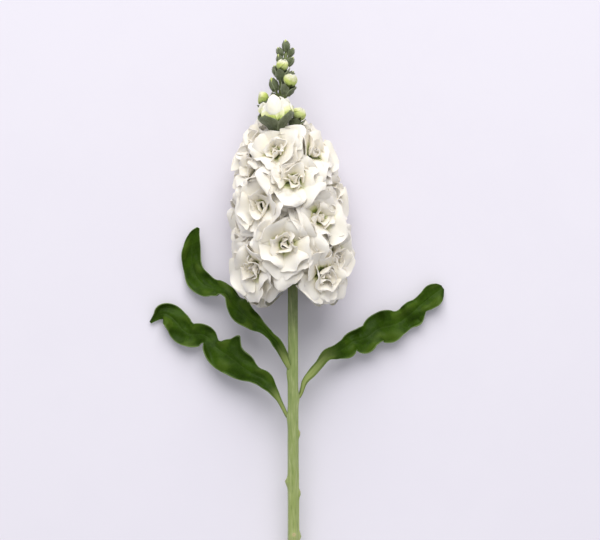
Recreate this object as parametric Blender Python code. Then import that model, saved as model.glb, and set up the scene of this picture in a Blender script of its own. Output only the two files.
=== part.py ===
"""A cut stem of white double stock, lying on a surface.

The stem lies along Y with its tip at +Y, and the surface is z = 0. The cut end and the underside of the
flower head touch the surface. Sizes are metres.

Every bloom of the head sits where the golden angle puts it round the stalk. Petals are blades on a small
grid. Those of one bloom stay inside its own cell: the space nearer to it than to any other bloom, and
above the surface. So neighbours press against each other as in the real head, and never cross.
"""

import math
import random
from typing import NamedTuple

import bmesh
import bpy
from mathutils import Matrix, Vector
from mathutils.bvhtree import BVHTree

MM = 0.001
GAP = 0.3 * MM
SEED = 91
SHARP_EDGE = 50

# The stalk: distance along Y, sideways place, height and radius
STEM_SIDES = 12
STEM_RINGS = 13
CUT_END_Y = -190 * MM
CUT_RADIUS = 3.6 * MM
HEAD_BASE_Y = 50 * MM
HEAD_BASE_Z = 27 * MM
STALK_STATIONS = (
    (HEAD_BASE_Y, -2.6 * MM, HEAD_BASE_Z, 2.9 * MM),
    (94 * MM, -4.6 * MM, 29.5 * MM, 2.4 * MM),
    (130 * MM, -8.2 * MM, 31 * MM, 1.8 * MM),
    (150 * MM, -9.8 * MM, 31.5 * MM, 1.5 * MM),
    (168 * MM, -8.6 * MM, 31.5 * MM, 1.2 * MM),
    (184 * MM, -6.2 * MM, 31 * MM, 0.9 * MM),
)
CUT_END_X = -1.8 * MM
STALK_SHIFT = 0.9 * MM
STALK_TAPER = 0.5 * MM

# The head: blooms from the lowest up, by the golden angle
FLORETS = 22
GOLDEN_ANGLE = 137.5
FIRST_AZIMUTH = -115
FIRST_HEIGHT = 42 * MM
HEIGHT_STEP = 4.45 * MM
# height along the stem, reach from the stalk, lean toward the tip in degrees, size
HEAD_PROFILE = (
    (40 * MM, 19.5 * MM, -12, 0.96),
    (60 * MM, 21.0 * MM, -4, 1.0),
    (80 * MM, 21.0 * MM, 6, 1.0),
    (100 * MM, 19.0 * MM, 16, 1.0),
    (118 * MM, 15.5 * MM, 30, 0.90),
    (136 * MM, 11.5 * MM, 44, 0.74),
)
# blooms that stand aside from the rule: turn in degrees, and shift along the stem
NUDGES = {0: (-10, 3 * MM), 1: (28, 5 * MM), 2: (-12, -5 * MM),
          19: (6, -6 * MM), 20: (-6, -9 * MM), 21: (14, -9 * MM)}
LOWEST_SEAT = 10.5 * MM
STEEPEST_DOWN = -0.8
TURN_ASIDE = 0.12
# how far the blooms of the sides turn up
SIDE_LIFT = 0.6
PEDICEL_DROP = 3 * MM
FLORET_CLIMB = 0.25

# Petals: how far from a bloom's axis they start
PETAL_ROOT_RADIUS = 2.6 * MM


class Ring(NamedTuple):
    """A ring of petals: count, size of a petal, its angles from the bloom's axis, seat, rows, root radius."""

    count: int
    length: float
    half_width: float
    start: float
    end: float
    seat: float
    rows: tuple
    root: float = PETAL_ROOT_RADIUS


# Rows of points along a petal, as parts of its length
FINE_ROWS = (0.0, 0.3, 0.6, 1.0)
PLAIN_ROWS = (0.0, 0.56, 1.0)
PETAL_COLUMNS = 4
RINGS = (
    Ring(5, 20.5 * MM, 10.0 * MM, 50, 100, 2.0 * MM, FINE_ROWS),
    Ring(4, 16.0 * MM, 8.4 * MM, 40, 60, 3.6 * MM, PLAIN_ROWS),
    Ring(3, 10.0 * MM, 6.0 * MM, 24, -24, 4.2 * MM, PLAIN_ROWS),
)
UNDERSIDE_RINGS = (
    Ring(5, 20.0 * MM, 10.0 * MM, 48, 92, 2.2 * MM, PLAIN_ROWS),
    Ring(3, 12.5 * MM, 7.0 * MM, 36, -6, 4.0 * MM, PLAIN_ROWS),
)
OPENING_RINGS = (
    Ring(3, 10.5 * MM, 6.2 * MM, 48, -36, 1.6 * MM, PLAIN_ROWS, 1.8 * MM),
)
HALF_OPEN_RINGS = (
    Ring(4, 11.0 * MM, 7.0 * MM, 68, -44, 1.6 * MM, PLAIN_ROWS, 2.0 * MM),
)
HALF_OPEN_RADIUS = 5 * MM
PETAL_THICKNESS = 1.0 * MM
THINNEST_PETAL = 0.75
TRACK_STEPS = 12
# how petals differ: sideways tilt, length, turn round the bloom, and turn of one ring to the next
PETAL_TILT = 0.22
PETAL_STRETCH = (0.88, 1.10)
PETAL_TURN = 0.04
RING_TURN = 0.35
# width at the claw, and how much wider and how soon the blade grows
CLAW_WIDTH = 0.30
BLADE_WIDTH = 0.78
BLADE_GROWTH = 1.9
BLADE_FULL = 2.2
RING_FILL = 0.82
# rounded tip, hollow of the blade, and waves of the rim
TIP_ROUNDING = 0.20
PETAL_CUP = 0.18
RUFFLE = 1.6 * MM
RUFFLE_WAVES = 4.4
CORE_RADIUS = 4.0 * MM
CORE_HEIGHT = 6.5 * MM
CORE_SIDES = 5
CORE_PROFILE = ((0.0, 0.6), (0.8, 0.85))
CELL_CENTRE = 6.5 * MM
SOFT_START = 0.70
OPEN_REACH = 100 * MM
PETAL_TRIES = 12
# the upper left leaf passes here, and the blooms keep to their side of it
LEAF_SIDE = Vector((-0.73, -0.68, 0.0)).normalized()
LEAF_SIDE_POINT = Vector((-34, 39, 0)) * MM

# Calyx and pedicel
CALYX_SIDES = 6
# place along the calyx and width, as parts of its length and radius
CALYX_PROFILE = ((0.05, 0.72), (1.0, 1.0))
BUD_PROFILE = ((0.1, 0.75), (0.6, 1.0), (1.15, 0.45))
CALYX_LENGTH = 9 * MM
LONGEST_CALYX = 1.15
OPENING_CALYX = 0.42
CALYX_RADIUS = 2.9 * MM
# radius, the least and most that it follows its calyx, its wider foot, its middle and its bow
PEDICEL_RADIUS = 0.85 * MM
PEDICEL_SCALE = (0.7, 1.15)
PEDICEL_FOOT = 1.25
PEDICEL_MIDDLE = 0.55
PEDICEL_BOW = 1.2 * MM
PEDICEL_SUNK = 0.3


class Bud(NamedTuple):
    """A bud: seat height, azimuth, reach, lean, radius of its calyx, and whether petals show."""

    height: float
    azimuth: float
    reach: float
    lean: float
    radius: float
    opening: bool


BUDS = (
    Bud(138.5 * MM, -14, 11.0 * MM, 80, 5.8 * MM, True),
    Bud(139.5 * MM, 68, 9.5 * MM, 60, 3.5 * MM, True),
    Bud(150.5 * MM, -80, 8.4 * MM, 54, 3.5 * MM, True),
    Bud(160.5 * MM, 30, 8.2 * MM, 64, 3.4 * MM, True),
    Bud(169 * MM, -6, 5.4 * MM, 74, 3.2 * MM, True),
    Bud(146 * MM, 168, 10 * MM, 48, 2.9 * MM, False),
    Bud(149 * MM, 112, 7.5 * MM, 55, 2.4 * MM, False),
    Bud(157 * MM, -142, 8 * MM, 55, 2.4 * MM, False),
    Bud(165 * MM, -66, 6.8 * MM, 62, 2.4 * MM, False),
    Bud(165 * MM, 150, 6.5 * MM, 60, 2.1 * MM, False),
    Bud(171 * MM, 108, 6.4 * MM, 60, 1.9 * MM, False),
    Bud(172.5 * MM, -100, 5.8 * MM, 60, 1.9 * MM, False),
    Bud(179 * MM, -62, 5.0 * MM, 58, 1.8 * MM, False),
    Bud(179 * MM, 70, 4.8 * MM, 62, 1.8 * MM, False),
    Bud(184 * MM, -84, 5.2 * MM, 62, 1.7 * MM, False),
    Bud(184 * MM, 80, 4.2 * MM, 62, 1.6 * MM, False),
    Bud(188.6 * MM, -60, 0.6 * MM, 86, 2.0 * MM, False),
)

# Leaf scars and nubs: depth in the stalk, the two rings of a nub as rise, place along and width, sides
SCAR_DEPTH = 1.0 * MM
SCAR_RINGS = ((0.0, 0.5 * MM, 1.0), (1.6 * MM, 1.4 * MM, 0.7))
SCAR_SIDES = 5
# place along the stem, azimuth and radius
SCARS = (
    (-46 * MM, 74, 1.3 * MM),
    (-75 * MM, -84, 1.9 * MM),
    (-82 * MM, 80, 1.4 * MM),
    (-108 * MM, 4, 2.1 * MM),
    (-108 * MM, 92, 1.4 * MM),
)


class Rib(NamedTuple):
    """One station of a leaf, in millimetres: its midrib, its half widths, and its roll in degrees."""

    x: float
    y: float
    z: float
    left: float
    right: float
    roll: float


# Leaves from the stem out to the tip
LEAF_LEFT_UPPER = (
    Rib(-6.0, -3.2, 24.5, 2.0, 2.0, 10),
    Rib(-11.4, 7.6, 25.5, 3.4, 3.6, 20),
    Rib(-15.8, 12.8, 25.0, 2.8, 3.0, 36),
    Rib(-20.2, 17.0, 24.0, 3.4, 3.2, 14),
    Rib(-25.4, 20.6, 22.5, 5.4, 5.0, -4),
    Rib(-31.4, 25.0, 20.5, 6.8, 6.4, -14),
    Rib(-36.6, 30.4, 18.0, 6.6, 6.6, -30),
    Rib(-40.6, 36.0, 15.0, 5.6, 7.4, -48),
    Rib(-44.6, 39.4, 12.0, 5.2, 5.0, -50),
    Rib(-49.4, 40.4, 9.5, 5.8, 5.8, -32),
    Rib(-54.8, 42.0, 7.5, 6.8, 6.8, -12),
    Rib(-59.8, 46.2, 6.0, 7.2, 7.0, 4),
    Rib(-62.8, 52.2, 5.0, 6.3, 6.2, 10),
    Rib(-63.9, 59.2, 5.0, 5.8, 5.8, 8),
    Rib(-63.4, 67.0, 6.0, 5.0, 5.0, 4),
    Rib(-61.9, 73.2, 7.5, 3.3, 3.3, 0),
    Rib(-59.6, 77.4, 9.0, 0.8, 0.8, 0),
)
LEAF_LEFT_LOWER = (
    Rib(-6.6, -34.6, 18.6, 1.0, 1.0, 0),
    Rib(-11.2, -25.4, 19.5, 1.6, 1.6, 0),
    Rib(-15.4, -18.8, 19.0, 4.0, 3.6, -26),
    Rib(-20.0, -14.0, 18.0, 4.8, 5.0, -14),
    Rib(-25.8, -11.0, 17.0, 5.0, 5.4, 0),
    Rib(-31.8, -7.4, 15.5, 8.0, 8.6, 6),
    Rib(-38.2, -2.4, 14.0, 9.8, 9.2, 8),
    Rib(-41.8, 0.0, 13.0, 10.2, 14.6, 10),
    Rib(-45.6, 2.6, 11.5, 10.0, 9.4, 0),
    Rib(-50.0, 6.4, 9.0, 8.0, 4.2, -14),
    Rib(-53.8, 11.2, 7.5, 4.4, 5.6, -6),
    Rib(-58.4, 13.0, 8.0, 7.0, 6.8, 6),
    Rib(-63.8, 12.8, 7.0, 7.6, 6.8, 0),
    Rib(-68.6, 15.2, 6.0, 8.4, 7.4, -4),
    Rib(-72.6, 19.6, 5.5, 7.4, 7.8, -8),
    Rib(-76.6, 23.6, 5.0, 6.2, 7.6, 0),
    Rib(-81.0, 25.4, 4.2, 4.4, 6.2, 6),
    Rib(-85.0, 23.4, 3.0, 2.2, 2.8, 6),
    Rib(-89.0, 20.0, 2.0, 0.7, 0.7, 0),
)
LEAF_RIGHT = (
    Rib(2.2, -22.6, 20.0, 1.1, 1.1, 0),
    Rib(4.6, -15.2, 20.5, 1.7, 1.7, 10),
    Rib(9.0, -9.8, 19.5, 2.6, 2.8, 20),
    Rib(13.4, -4.4, 18.0, 2.4, 3.0, 14),
    Rib(18.4, 0.0, 16.5, 4.4, 2.6, 0),
    Rib(24.2, 2.8, 14.5, 4.4, 4.8, -8),
    Rib(29.4, 5.2, 12.5, 5.8, 6.6, -14),
    Rib(33.8, 8.6, 9.5, 6.0, 5.6, 8),
    Rib(39.2, 9.8, 10.0, 7.8, 8.6, -10),
    Rib(44.0, 12.2, 8.0, 7.4, 7.4, 10),
    Rib(49.0, 16.0, 6.5, 9.4, 8.4, 8),
    Rib(55.4, 17.8, 8.5, 10.4, 10.0, -10),
    Rib(61.4, 19.8, 6.0, 7.6, 7.6, 12),
    Rib(65.6, 22.6, 5.0, 6.6, 7.0, 4),
    Rib(70.2, 26.2, 7.5, 7.6, 8.4, -12),
    Rib(74.4, 30.2, 5.0, 5.4, 5.2, 10),
    Rib(78.4, 33.4, 5.2, 6.0, 6.2, -4),
    Rib(82.6, 36.8, 5.0, 6.8, 6.8, 0),
    Rib(86.2, 39.6, 4.2, 4.8, 4.6, 0),
    Rib(88.4, 41.2, 3.4, 1.6, 1.6, 0),
)
LEAF_ROWS_PER_RIB = 2
LEAF_COLUMNS = 4
LEAF_THICKNESS = 0.9 * MM
LEAF_WAVE = 0.8 * MM
LEAF_WAVE_LENGTH = 16 * MM
LEAF_WAVE_LAG = 2.4
LEAF_CHANNEL = 0.8 * MM
# blades with a half width under this wave less
LEAF_FULL_WIDTH = 6 * MM

# Colour, roughness and metallic of each finish
STALK_GREEN = ((0.42, 0.52, 0.20, 1.0), 0.55, 0.0)
LEAF_GREEN = ((0.10, 0.20, 0.05, 1.0), 0.42, 0.0)
PETAL_WHITE = ((0.90, 0.88, 0.79, 1.0), 0.60, 0.0)
BUD_CREAM = ((0.84, 0.86, 0.62, 1.0), 0.60, 0.0)


def clear_scene():
    """Remove every object of the open scene."""
    for item in list(bpy.data.objects):
        bpy.data.objects.remove(item, do_unlink=True)


def material(name, finish):
    """Make a Principled material from a colour, a roughness and a metallic value."""
    colour, roughness, metallic = finish
    made = bpy.data.materials.new(name)
    made.use_nodes = True
    shader = made.node_tree.nodes["Principled BSDF"]
    shader.inputs["Base Color"].default_value = colour
    shader.inputs["Roughness"].default_value = roughness
    shader.inputs["Metallic"].default_value = metallic
    made.diffuse_color = colour
    return made


def blend(stations, place):
    """Read every value of a list of stations at a place, on a smooth curve through them."""
    keys = [station[0] for station in stations]
    last = len(keys) - 1
    place = min(max(place, keys[0]), keys[-1])
    span = max(i for i in range(last) if keys[i] <= place)
    t = (place - keys[span]) / (keys[span + 1] - keys[span])
    values = []
    for column in range(1, len(stations[0])):
        a, b, c, d = (stations[min(max(span + step, 0), last)][column] for step in (-1, 0, 1, 2))
        values.append(catmull_rom(a, b, c, d, t))
    return values


def catmull_rom(a, b, c, d, t):
    """Pass smoothly from b to c, with a and d as the neighbours."""
    return 0.5 * (2 * b + (c - a) * t + (2 * a - 5 * b + 4 * c - d) * t**2 + (3 * b - a - 3 * c + d) * t**3)


def stalk_stations():
    """All stations of the stalk, with the cut end's flat side on the surface."""
    slope = math.atan2(HEAD_BASE_Z, HEAD_BASE_Y - CUT_END_Y)
    end_z = CUT_RADIUS * math.cos(math.pi / STEM_SIDES) * math.cos(slope)
    straight = []
    for part in (0, 1 / 3, 2 / 3):
        y = CUT_END_Y + (HEAD_BASE_Y - CUT_END_Y) * part
        z = end_z + (HEAD_BASE_Z - end_z) * part
        straight.append((y, CUT_END_X - STALK_SHIFT * part, z, CUT_RADIUS - STALK_TAPER * part))
    return tuple(straight) + STALK_STATIONS


STALK = stalk_stations()


def stalk_point(y):
    """The middle of the stalk at a place along Y, and its radius."""
    x, z, radius = blend(STALK, y)
    return Vector((x, y, z)), radius


def stalk_direction(y):
    """The way the stalk runs at a place along Y."""
    step = 1 * MM
    return (stalk_point(y + step)[0] - stalk_point(y - step)[0]).normalized()


def outward(y, azimuth):
    """The direction away from the stalk: 0 degrees is up, and positive turns toward +X."""
    along = stalk_direction(y)
    up = (Vector((0, 0, 1)) - along * along.z).normalized()
    side = along.cross(up)
    turn = math.radians(azimuth)
    return up * math.cos(turn) + side * math.sin(turn)


class Site(NamedTuple):
    """A bloom's seat, the way it faces, its size, its petal rings, and the place of its pedicel."""

    seat: Vector
    facing: Vector
    size: float
    rings: tuple
    foot_y: float
    azimuth: float
    calyx_radius: float
    calyx_length: float

    def centre(self):
        """The middle of the bloom's cell."""
        return self.seat + self.facing * CELL_CENTRE * self.size


def floret_sites():
    """Seat every open bloom by the golden angle."""
    sites = []
    for index in range(FLORETS):
        turn, shift = NUDGES.get(index, (0, 0))
        azimuth = FIRST_AZIMUTH + GOLDEN_ANGLE * index + turn
        y = FIRST_HEIGHT + HEIGHT_STEP * index + shift
        reach, lean, size = blend(HEAD_PROFILE, y)
        away = outward(y, azimuth)
        middle = stalk_point(y)[0]
        if away.z < 0:
            reach = min(reach, (middle.z - LOWEST_SEAT) / -away.z)
        lean = math.radians(lean)
        facing = away * math.cos(lean) + stalk_direction(y) * math.sin(lean)
        rings = RINGS
        if facing.z < STEEPEST_DOWN:
            flat = Vector((facing.x + math.copysign(TURN_ASIDE, facing.x), facing.y, 0)).normalized()
            facing = flat * math.sqrt(1 - STEEPEST_DOWN**2) + Vector((0, 0, STEEPEST_DOWN))
            rings = UNDERSIDE_RINGS
        else:
            facing = facing + Vector((0, 0, SIDE_LIFT * (1 - facing.z**2)))
        seat = middle + away * reach
        calyx = CALYX_RADIUS * size
        length = calyx_length(calyx)
        foot = pedicel_foot(y, reach, lean, length, FLORET_CLIMB)
        sites.append(Site(seat, facing.normalized(), size, rings, foot, azimuth, calyx, length))
    return sites


def bud_sites():
    """Seat every bud of the tip."""
    sites = []
    for bud in BUDS:
        away = outward(bud.height, bud.azimuth)
        lean = math.radians(bud.lean)
        facing = away * math.cos(lean) + stalk_direction(bud.height) * math.sin(lean)
        seat = stalk_point(bud.height)[0] + away * bud.reach
        rings = OPENING_RINGS if bud.opening else ()
        if bud.radius > HALF_OPEN_RADIUS:
            rings = HALF_OPEN_RINGS
        size = bud.radius / CORE_RADIUS
        length = calyx_length(bud.radius) * (OPENING_CALYX if bud.opening else 1.0)
        foot = pedicel_foot(bud.height, bud.reach, lean, length, 1.0)
        sites.append(Site(seat, facing.normalized(), size, rings, foot, bud.azimuth, bud.radius, length))
    return sites


def cell_walls(index, sites):
    """The planes round one bloom, each a normal and the furthest that the bloom reaches along it."""
    own = sites[index]
    middle = own.centre()
    margin = GAP / 2 + PETAL_THICKNESS / 2
    walls = [(Vector((0, 0, -1)), middle.z - PETAL_THICKNESS / 2)]
    walls.append((LEAF_SIDE, (LEAF_SIDE_POINT - middle).dot(LEAF_SIDE) - margin))
    for other_index, other in enumerate(sites):
        if other_index == index:
            continue
        between = other.centre() - middle
        distance = between.length
        share = own.size / (own.size + other.size)
        walls.append((between / distance, distance * share - margin))
    return walls


def held_in_cell(point, middle, walls):
    """Draw a point back toward the middle of its cell, softly, so that it stays inside."""
    away = point - middle
    distance = away.length
    if distance < 1e-9:
        return point
    heading = away / distance
    facing = ((heading.dot(wall), reach) for wall, reach in walls)
    limit = min((reach / lean for lean, reach in facing if lean > 1e-6), default=OPEN_REACH)
    part = distance / limit
    if part > SOFT_START:
        rest = 1 - SOFT_START
        over = (part - SOFT_START) / rest
        part = SOFT_START + rest * over / math.hypot(1, over)
    return middle + heading * limit * part


def petal_track(ring):
    """The middle line of a petal as distances from the bloom's axis and heights along it."""
    r, h = ring.root, ring.seat
    track = [(r, h)]
    for step in range(TRACK_STEPS):
        s = (step + 0.5) / TRACK_STEPS
        angle = math.radians(ring.start + (ring.end - ring.start) * s)
        r += math.sin(angle) * ring.length / TRACK_STEPS
        h += math.cos(angle) * ring.length / TRACK_STEPS
        track.append((r, h))
    return track


def petal_grid(ring, turn, size, draw):
    """The middle surface of one petal in its bloom's own frame, from the root to the tip."""
    track = petal_track(ring)
    phase = draw.uniform(0, 2 * math.pi)
    tilt = draw.uniform(-PETAL_TILT, PETAL_TILT)
    stretch = draw.uniform(*PETAL_STRETCH)
    grid = []
    for s in ring.rows:
        share = track[round(s * TRACK_STEPS)][0] * math.tan(math.pi / max(ring.count, 4)) * RING_FILL
        growth = math.sin(min(s * BLADE_GROWTH, BLADE_FULL)) ** 1.1
        width = min(ring.half_width * (CLAW_WIDTH + BLADE_WIDTH * growth), share)
        line = []
        for column in range(PETAL_COLUMNS):
            t = 2 * column / (PETAL_COLUMNS - 1) - 1
            back = TIP_ROUNDING * s**3 * t * t
            place = (s - back) * stretch * TRACK_STEPS
            low = min(int(place), TRACK_STEPS - 1)
            near, far = track[low], track[low + 1]
            r = near[0] + (far[0] - near[0]) * (place - low)
            h = near[1] + (far[1] - near[1]) * (place - low)
            wave = RUFFLE * s * s * math.sin(RUFFLE_WAVES * t + phase)
            angle = math.radians(ring.start + (ring.end - ring.start) * s)
            r -= math.cos(angle) * wave
            h += math.sin(angle) * wave + width * t * (tilt + PETAL_CUP * t)
            sideways = width * t
            line.append(Vector((r * math.cos(turn) - sideways * math.sin(turn),
                                r * math.sin(turn) + sideways * math.cos(turn), h)) * size)
        grid.append(line)
    return grid


def grid_normals(grid):
    """The normal at every point of a grid."""
    rows, columns = len(grid), len(grid[0])
    normals = []
    for row in range(rows):
        line = []
        for column in range(columns):
            along = grid[min(row + 1, rows - 1)][column] - grid[max(row - 1, 0)][column]
            across = grid[row][min(column + 1, columns - 1)] - grid[row][max(column - 1, 0)]
            line.append(along.cross(across).normalized())
        normals.append(line)
    return normals


def quad_halves(row, column, rows, columns):
    """Split a grid square in two, with a diagonal that runs into the grid's corners."""
    a, b = (row, column), (row, column + 1)
    c, d = (row + 1, column + 1), (row + 1, column)
    if (row < (rows - 1) / 2) == (column < (columns - 1) / 2):
        return (a, b, c), (a, c, d)
    return (a, b, d), (b, c, d)


def blade(grid, thickness, sharp_rim):
    """Make a closed blade round a grid, split alike on both faces. A sharp rim closes to an edge."""
    rows, columns = len(grid), len(grid[0])
    normals = grid_normals(grid)
    mesh = bmesh.new()
    top, bottom = {}, {}
    for row in range(rows):
        for column in range(columns):
            rim = row in (0, rows - 1) or column in (0, columns - 1)
            point, normal = grid[row][column], normals[row][column]
            if rim and sharp_rim:
                top[row, column] = bottom[row, column] = mesh.verts.new(point)
            else:
                top[row, column] = mesh.verts.new(point + normal * thickness / 2)
                bottom[row, column] = mesh.verts.new(point - normal * thickness / 2)
    for row in range(rows - 1):
        for column in range(columns - 1):
            for half in quad_halves(row, column, rows, columns):
                mesh.faces.new([top[key] for key in half])
                mesh.faces.new([bottom[key] for key in reversed(half)])
    if not sharp_rim:
        rim = [(0, c) for c in range(columns)] + [(r, columns - 1) for r in range(1, rows)]
        rim += [(rows - 1, c) for c in range(columns - 2, -1, -1)] + [(r, 0) for r in range(rows - 2, 0, -1)]
        for here, there in zip(rim, rim[1:] + rim[:1]):
            mesh.faces.new((top[there], top[here], bottom[here]))
            mesh.faces.new((top[there], bottom[here], bottom[there]))
    bmesh.ops.recalc_face_normals(mesh, faces=mesh.faces)
    return mesh


def crosses_itself(mesh):
    """Whether two faces of a mesh that share no corner cut each other, as in a blade folded too hard."""
    mesh.faces.ensure_lookup_table()
    tree = BVHTree.FromBMesh(mesh)
    corners = [set(face.verts) for face in mesh.faces]
    return any(not corners[a] & corners[b] for a, b in tree.overlap(tree) if a < b)


def tube(rings, blunt_start, blunt_end):
    """Join rings of points into a closed tube. A blunt end is flat, and others come to a point."""
    mesh = bmesh.new()
    loops = [[mesh.verts.new(point) for point in ring] for ring in rings]
    count = len(rings[0])
    for low, high in zip(loops, loops[1:]):
        for i in range(count):
            j = (i + 1) % count
            mesh.faces.new((low[i], low[j], high[j]))
            mesh.faces.new((low[i], high[j], high[i]))
    for loop, blunt in ((loops[0], blunt_start), (loops[-1], blunt_end)):
        if blunt:
            mesh.faces.new(loop)
            continue
        tip = mesh.verts.new(sum((vert.co for vert in loop), Vector()) / count)
        for i in range(count):
            mesh.faces.new((loop[i], loop[(i + 1) % count], tip))
    bmesh.ops.recalc_face_normals(mesh, faces=mesh.faces)
    return mesh


def section(middle, along, radius, sides):
    """A ring of points round a middle, across a direction."""
    up = Vector((0, 0, 1)) if abs(along.z) < 0.8 else Vector((0, 1, 0))
    side = along.cross(up).normalized()
    up = side.cross(along)
    points = []
    for i in range(sides):
        turn = 2 * math.pi * (i + 0.5) / sides
        points.append(middle + (side * math.cos(turn) + up * math.sin(turn)) * radius)
    return points


def new_object(name, mesh, finish):
    """Put a bmesh into a named object with its material."""
    data = bpy.data.meshes.new(name)
    mesh.to_mesh(data)
    mesh.free()
    data.materials.append(finish)
    data.shade_smooth()
    data.set_sharp_from_angle(angle=math.radians(SHARP_EDGE))
    item = bpy.data.objects.new(name, data)
    bpy.context.scene.collection.objects.link(item)
    return item


def fused(name, base, others, finish):
    """Join closed meshes into one body by a Boolean union, and keep its outer skin alone."""
    target = new_object(name, base, finish)
    group = bpy.data.collections.new(name + "_pieces")
    bpy.context.scene.collection.children.link(group)
    for number, mesh in enumerate(others):
        data = bpy.data.meshes.new(f"{name}_piece_{number}")
        mesh.to_mesh(data)
        mesh.free()
        group.objects.link(bpy.data.objects.new(data.name, data))
    union = target.modifiers.new("union", "BOOLEAN")
    union.operation = "UNION"
    union.operand_type = "COLLECTION"
    union.collection = group
    # the exact solver leaves open edges in some of these unions
    union.solver = "MANIFOLD"
    bpy.context.view_layer.update()
    evaluated = target.evaluated_get(bpy.context.evaluated_depsgraph_get())
    joined = bpy.data.meshes.new_from_object(evaluated)
    target.modifiers.clear()
    for item in list(group.objects):
        bpy.data.objects.remove(item, do_unlink=True)
    bpy.data.collections.remove(group)
    keep_outer_skin(joined)
    joined.materials.clear()
    joined.materials.append(finish)
    joined.shade_smooth()
    joined.set_sharp_from_angle(angle=math.radians(SHARP_EDGE))
    target.data = joined
    return target


def keep_outer_skin(data):
    """Drop loose scraps and sealed hollows: only the body of the largest volume stays."""
    mesh = bmesh.new()
    mesh.from_mesh(data)
    bmesh.ops.triangulate(mesh, faces=mesh.faces)
    unseen = set(mesh.verts)
    bodies = []
    while unseen:
        stack = [unseen.pop()]
        body = set(stack)
        while stack:
            for edge in stack.pop().link_edges:
                for vert in edge.verts:
                    if vert in unseen:
                        unseen.discard(vert)
                        body.add(vert)
                        stack.append(vert)
        bodies.append(body)
    bodies.sort(key=lambda body: shell_volume(body), reverse=True)
    for body in bodies[1:]:
        bmesh.ops.delete(mesh, geom=list(body), context="VERTS")
    mesh.to_mesh(data)
    mesh.free()


def shell_volume(body):
    """The signed volume inside one shell of triangles."""
    faces = {face for vert in body for face in vert.link_faces}
    return sum(a.co.dot(b.co.cross(c.co)) for a, b, c in (face.verts for face in faces)) / 6


def bloom_frame(site, spin):
    """The matrix from a bloom's own frame to the world."""
    up = Vector((0, 0, 1)) if abs(site.facing.z) < 0.9 else Vector((0, 1, 0))
    side = up.cross(site.facing).normalized()
    other = site.facing.cross(side)
    turned = Matrix((side, other, site.facing)).transposed().to_4x4()
    return Matrix.Translation(site.seat) @ turned @ Matrix.Rotation(spin, 4, "Z")


def core_mesh(frame, size):
    """The small heart of a bloom, which its petals stand out of."""
    rings = []
    axis = Vector((0, 0, 1))
    for height, part in CORE_PROFILE:
        ring = section(axis * height * CORE_HEIGHT, axis, part * CORE_RADIUS, CORE_SIDES)
        rings.append([frame @ (point * size) for point in ring])
    return tube(rings, True, True)


def bloom(name, index, sites, finish, draw):
    """One bloom: rings of petals round a core, held inside its own cell."""
    site = sites[index]
    walls = cell_walls(index, sites)
    middle = site.centre()
    frame = bloom_frame(site, draw.uniform(0, 2 * math.pi))
    petals = []
    start = 0.0
    for ring in site.rings:
        for number in range(ring.count):
            turn = start + 2 * math.pi * number / ring.count
            for _ in range(PETAL_TRIES):
                turned = turn + draw.uniform(-PETAL_TURN, PETAL_TURN)
                grid = petal_grid(ring, turned, site.size, draw)
                grid = [[held_in_cell(frame @ point, middle, walls) for point in line] for line in grid]
                petal = blade(grid, PETAL_THICKNESS * max(site.size, THINNEST_PETAL), True)
                if not crosses_itself(petal):
                    break
            petals.append(petal)
        start += math.pi / ring.count + RING_TURN
    return fused(name, core_mesh(frame, site.size), petals, finish)


def calyx_length(radius):
    """The length of a calyx of some radius: wide ones stay short."""
    return CALYX_LENGTH * min(radius / CALYX_RADIUS, LONGEST_CALYX)


def pedicel_foot(height, reach, lean, length, climb):
    """Where along the stalk a pedicel leaves it, to rise to its calyx."""
    return height - length * math.sin(lean) - (reach - length * math.cos(lean)) * climb - PEDICEL_DROP


def calyx_meshes(site, closed):
    """A pedicel that rises from the stalk, and the calyx or closed bud at its end."""
    foot, radius = stalk_point(site.foot_y)
    scale = site.calyx_radius / CALYX_RADIUS
    length = site.calyx_length
    base = site.seat - site.facing * (length + GAP)
    foot = foot + outward(site.foot_y, site.azimuth) * radius * PEDICEL_SUNK
    thinnest, thickest = PEDICEL_SCALE
    thin = PEDICEL_RADIUS * min(max(scale, thinnest), thickest)
    heading = (base - foot).normalized()
    halfway = foot.lerp(base, PEDICEL_MIDDLE) + (heading - site.facing) * PEDICEL_BOW
    rings = [
        section(foot, heading, thin * PEDICEL_FOOT, CALYX_SIDES),
        section(halfway, (heading + site.facing).normalized(), thin, CALYX_SIDES),
    ]
    for part, wide in BUD_PROFILE if closed else CALYX_PROFILE:
        middle = base + site.facing * length * part
        rings.append(section(middle, site.facing, wide * site.calyx_radius, CALYX_SIDES))
    return tube(rings, True, True)


def stem(sites, finish):
    """The stalk with its pedicels, calyces, closed buds and leaf scars, grown as one piece."""
    rings = []
    top = STALK[-1][0]
    for number in range(STEM_RINGS):
        y = CUT_END_Y + (top - CUT_END_Y) * number / (STEM_RINGS - 1)
        middle, radius = stalk_point(y)
        rings.append(section(middle, stalk_direction(y), radius, STEM_SIDES))
    parts = [calyx_meshes(site, not site.rings) for site in sites]
    for y, azimuth, radius in SCARS:
        middle, stalk_radius = stalk_point(y)
        away = outward(y, azimuth)
        along = stalk_direction(y)
        slanted = (away + along).normalized()
        seat = middle + away * (stalk_radius - SCAR_DEPTH)
        scar = []
        for rise, ahead, part in SCAR_RINGS:
            scar.append(section(seat + away * rise + along * ahead, slanted, radius * part, SCAR_SIDES))
        parts.append(tube(scar, True, True))
    return fused("stem", tube(rings, True, True), parts, finish)


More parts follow.
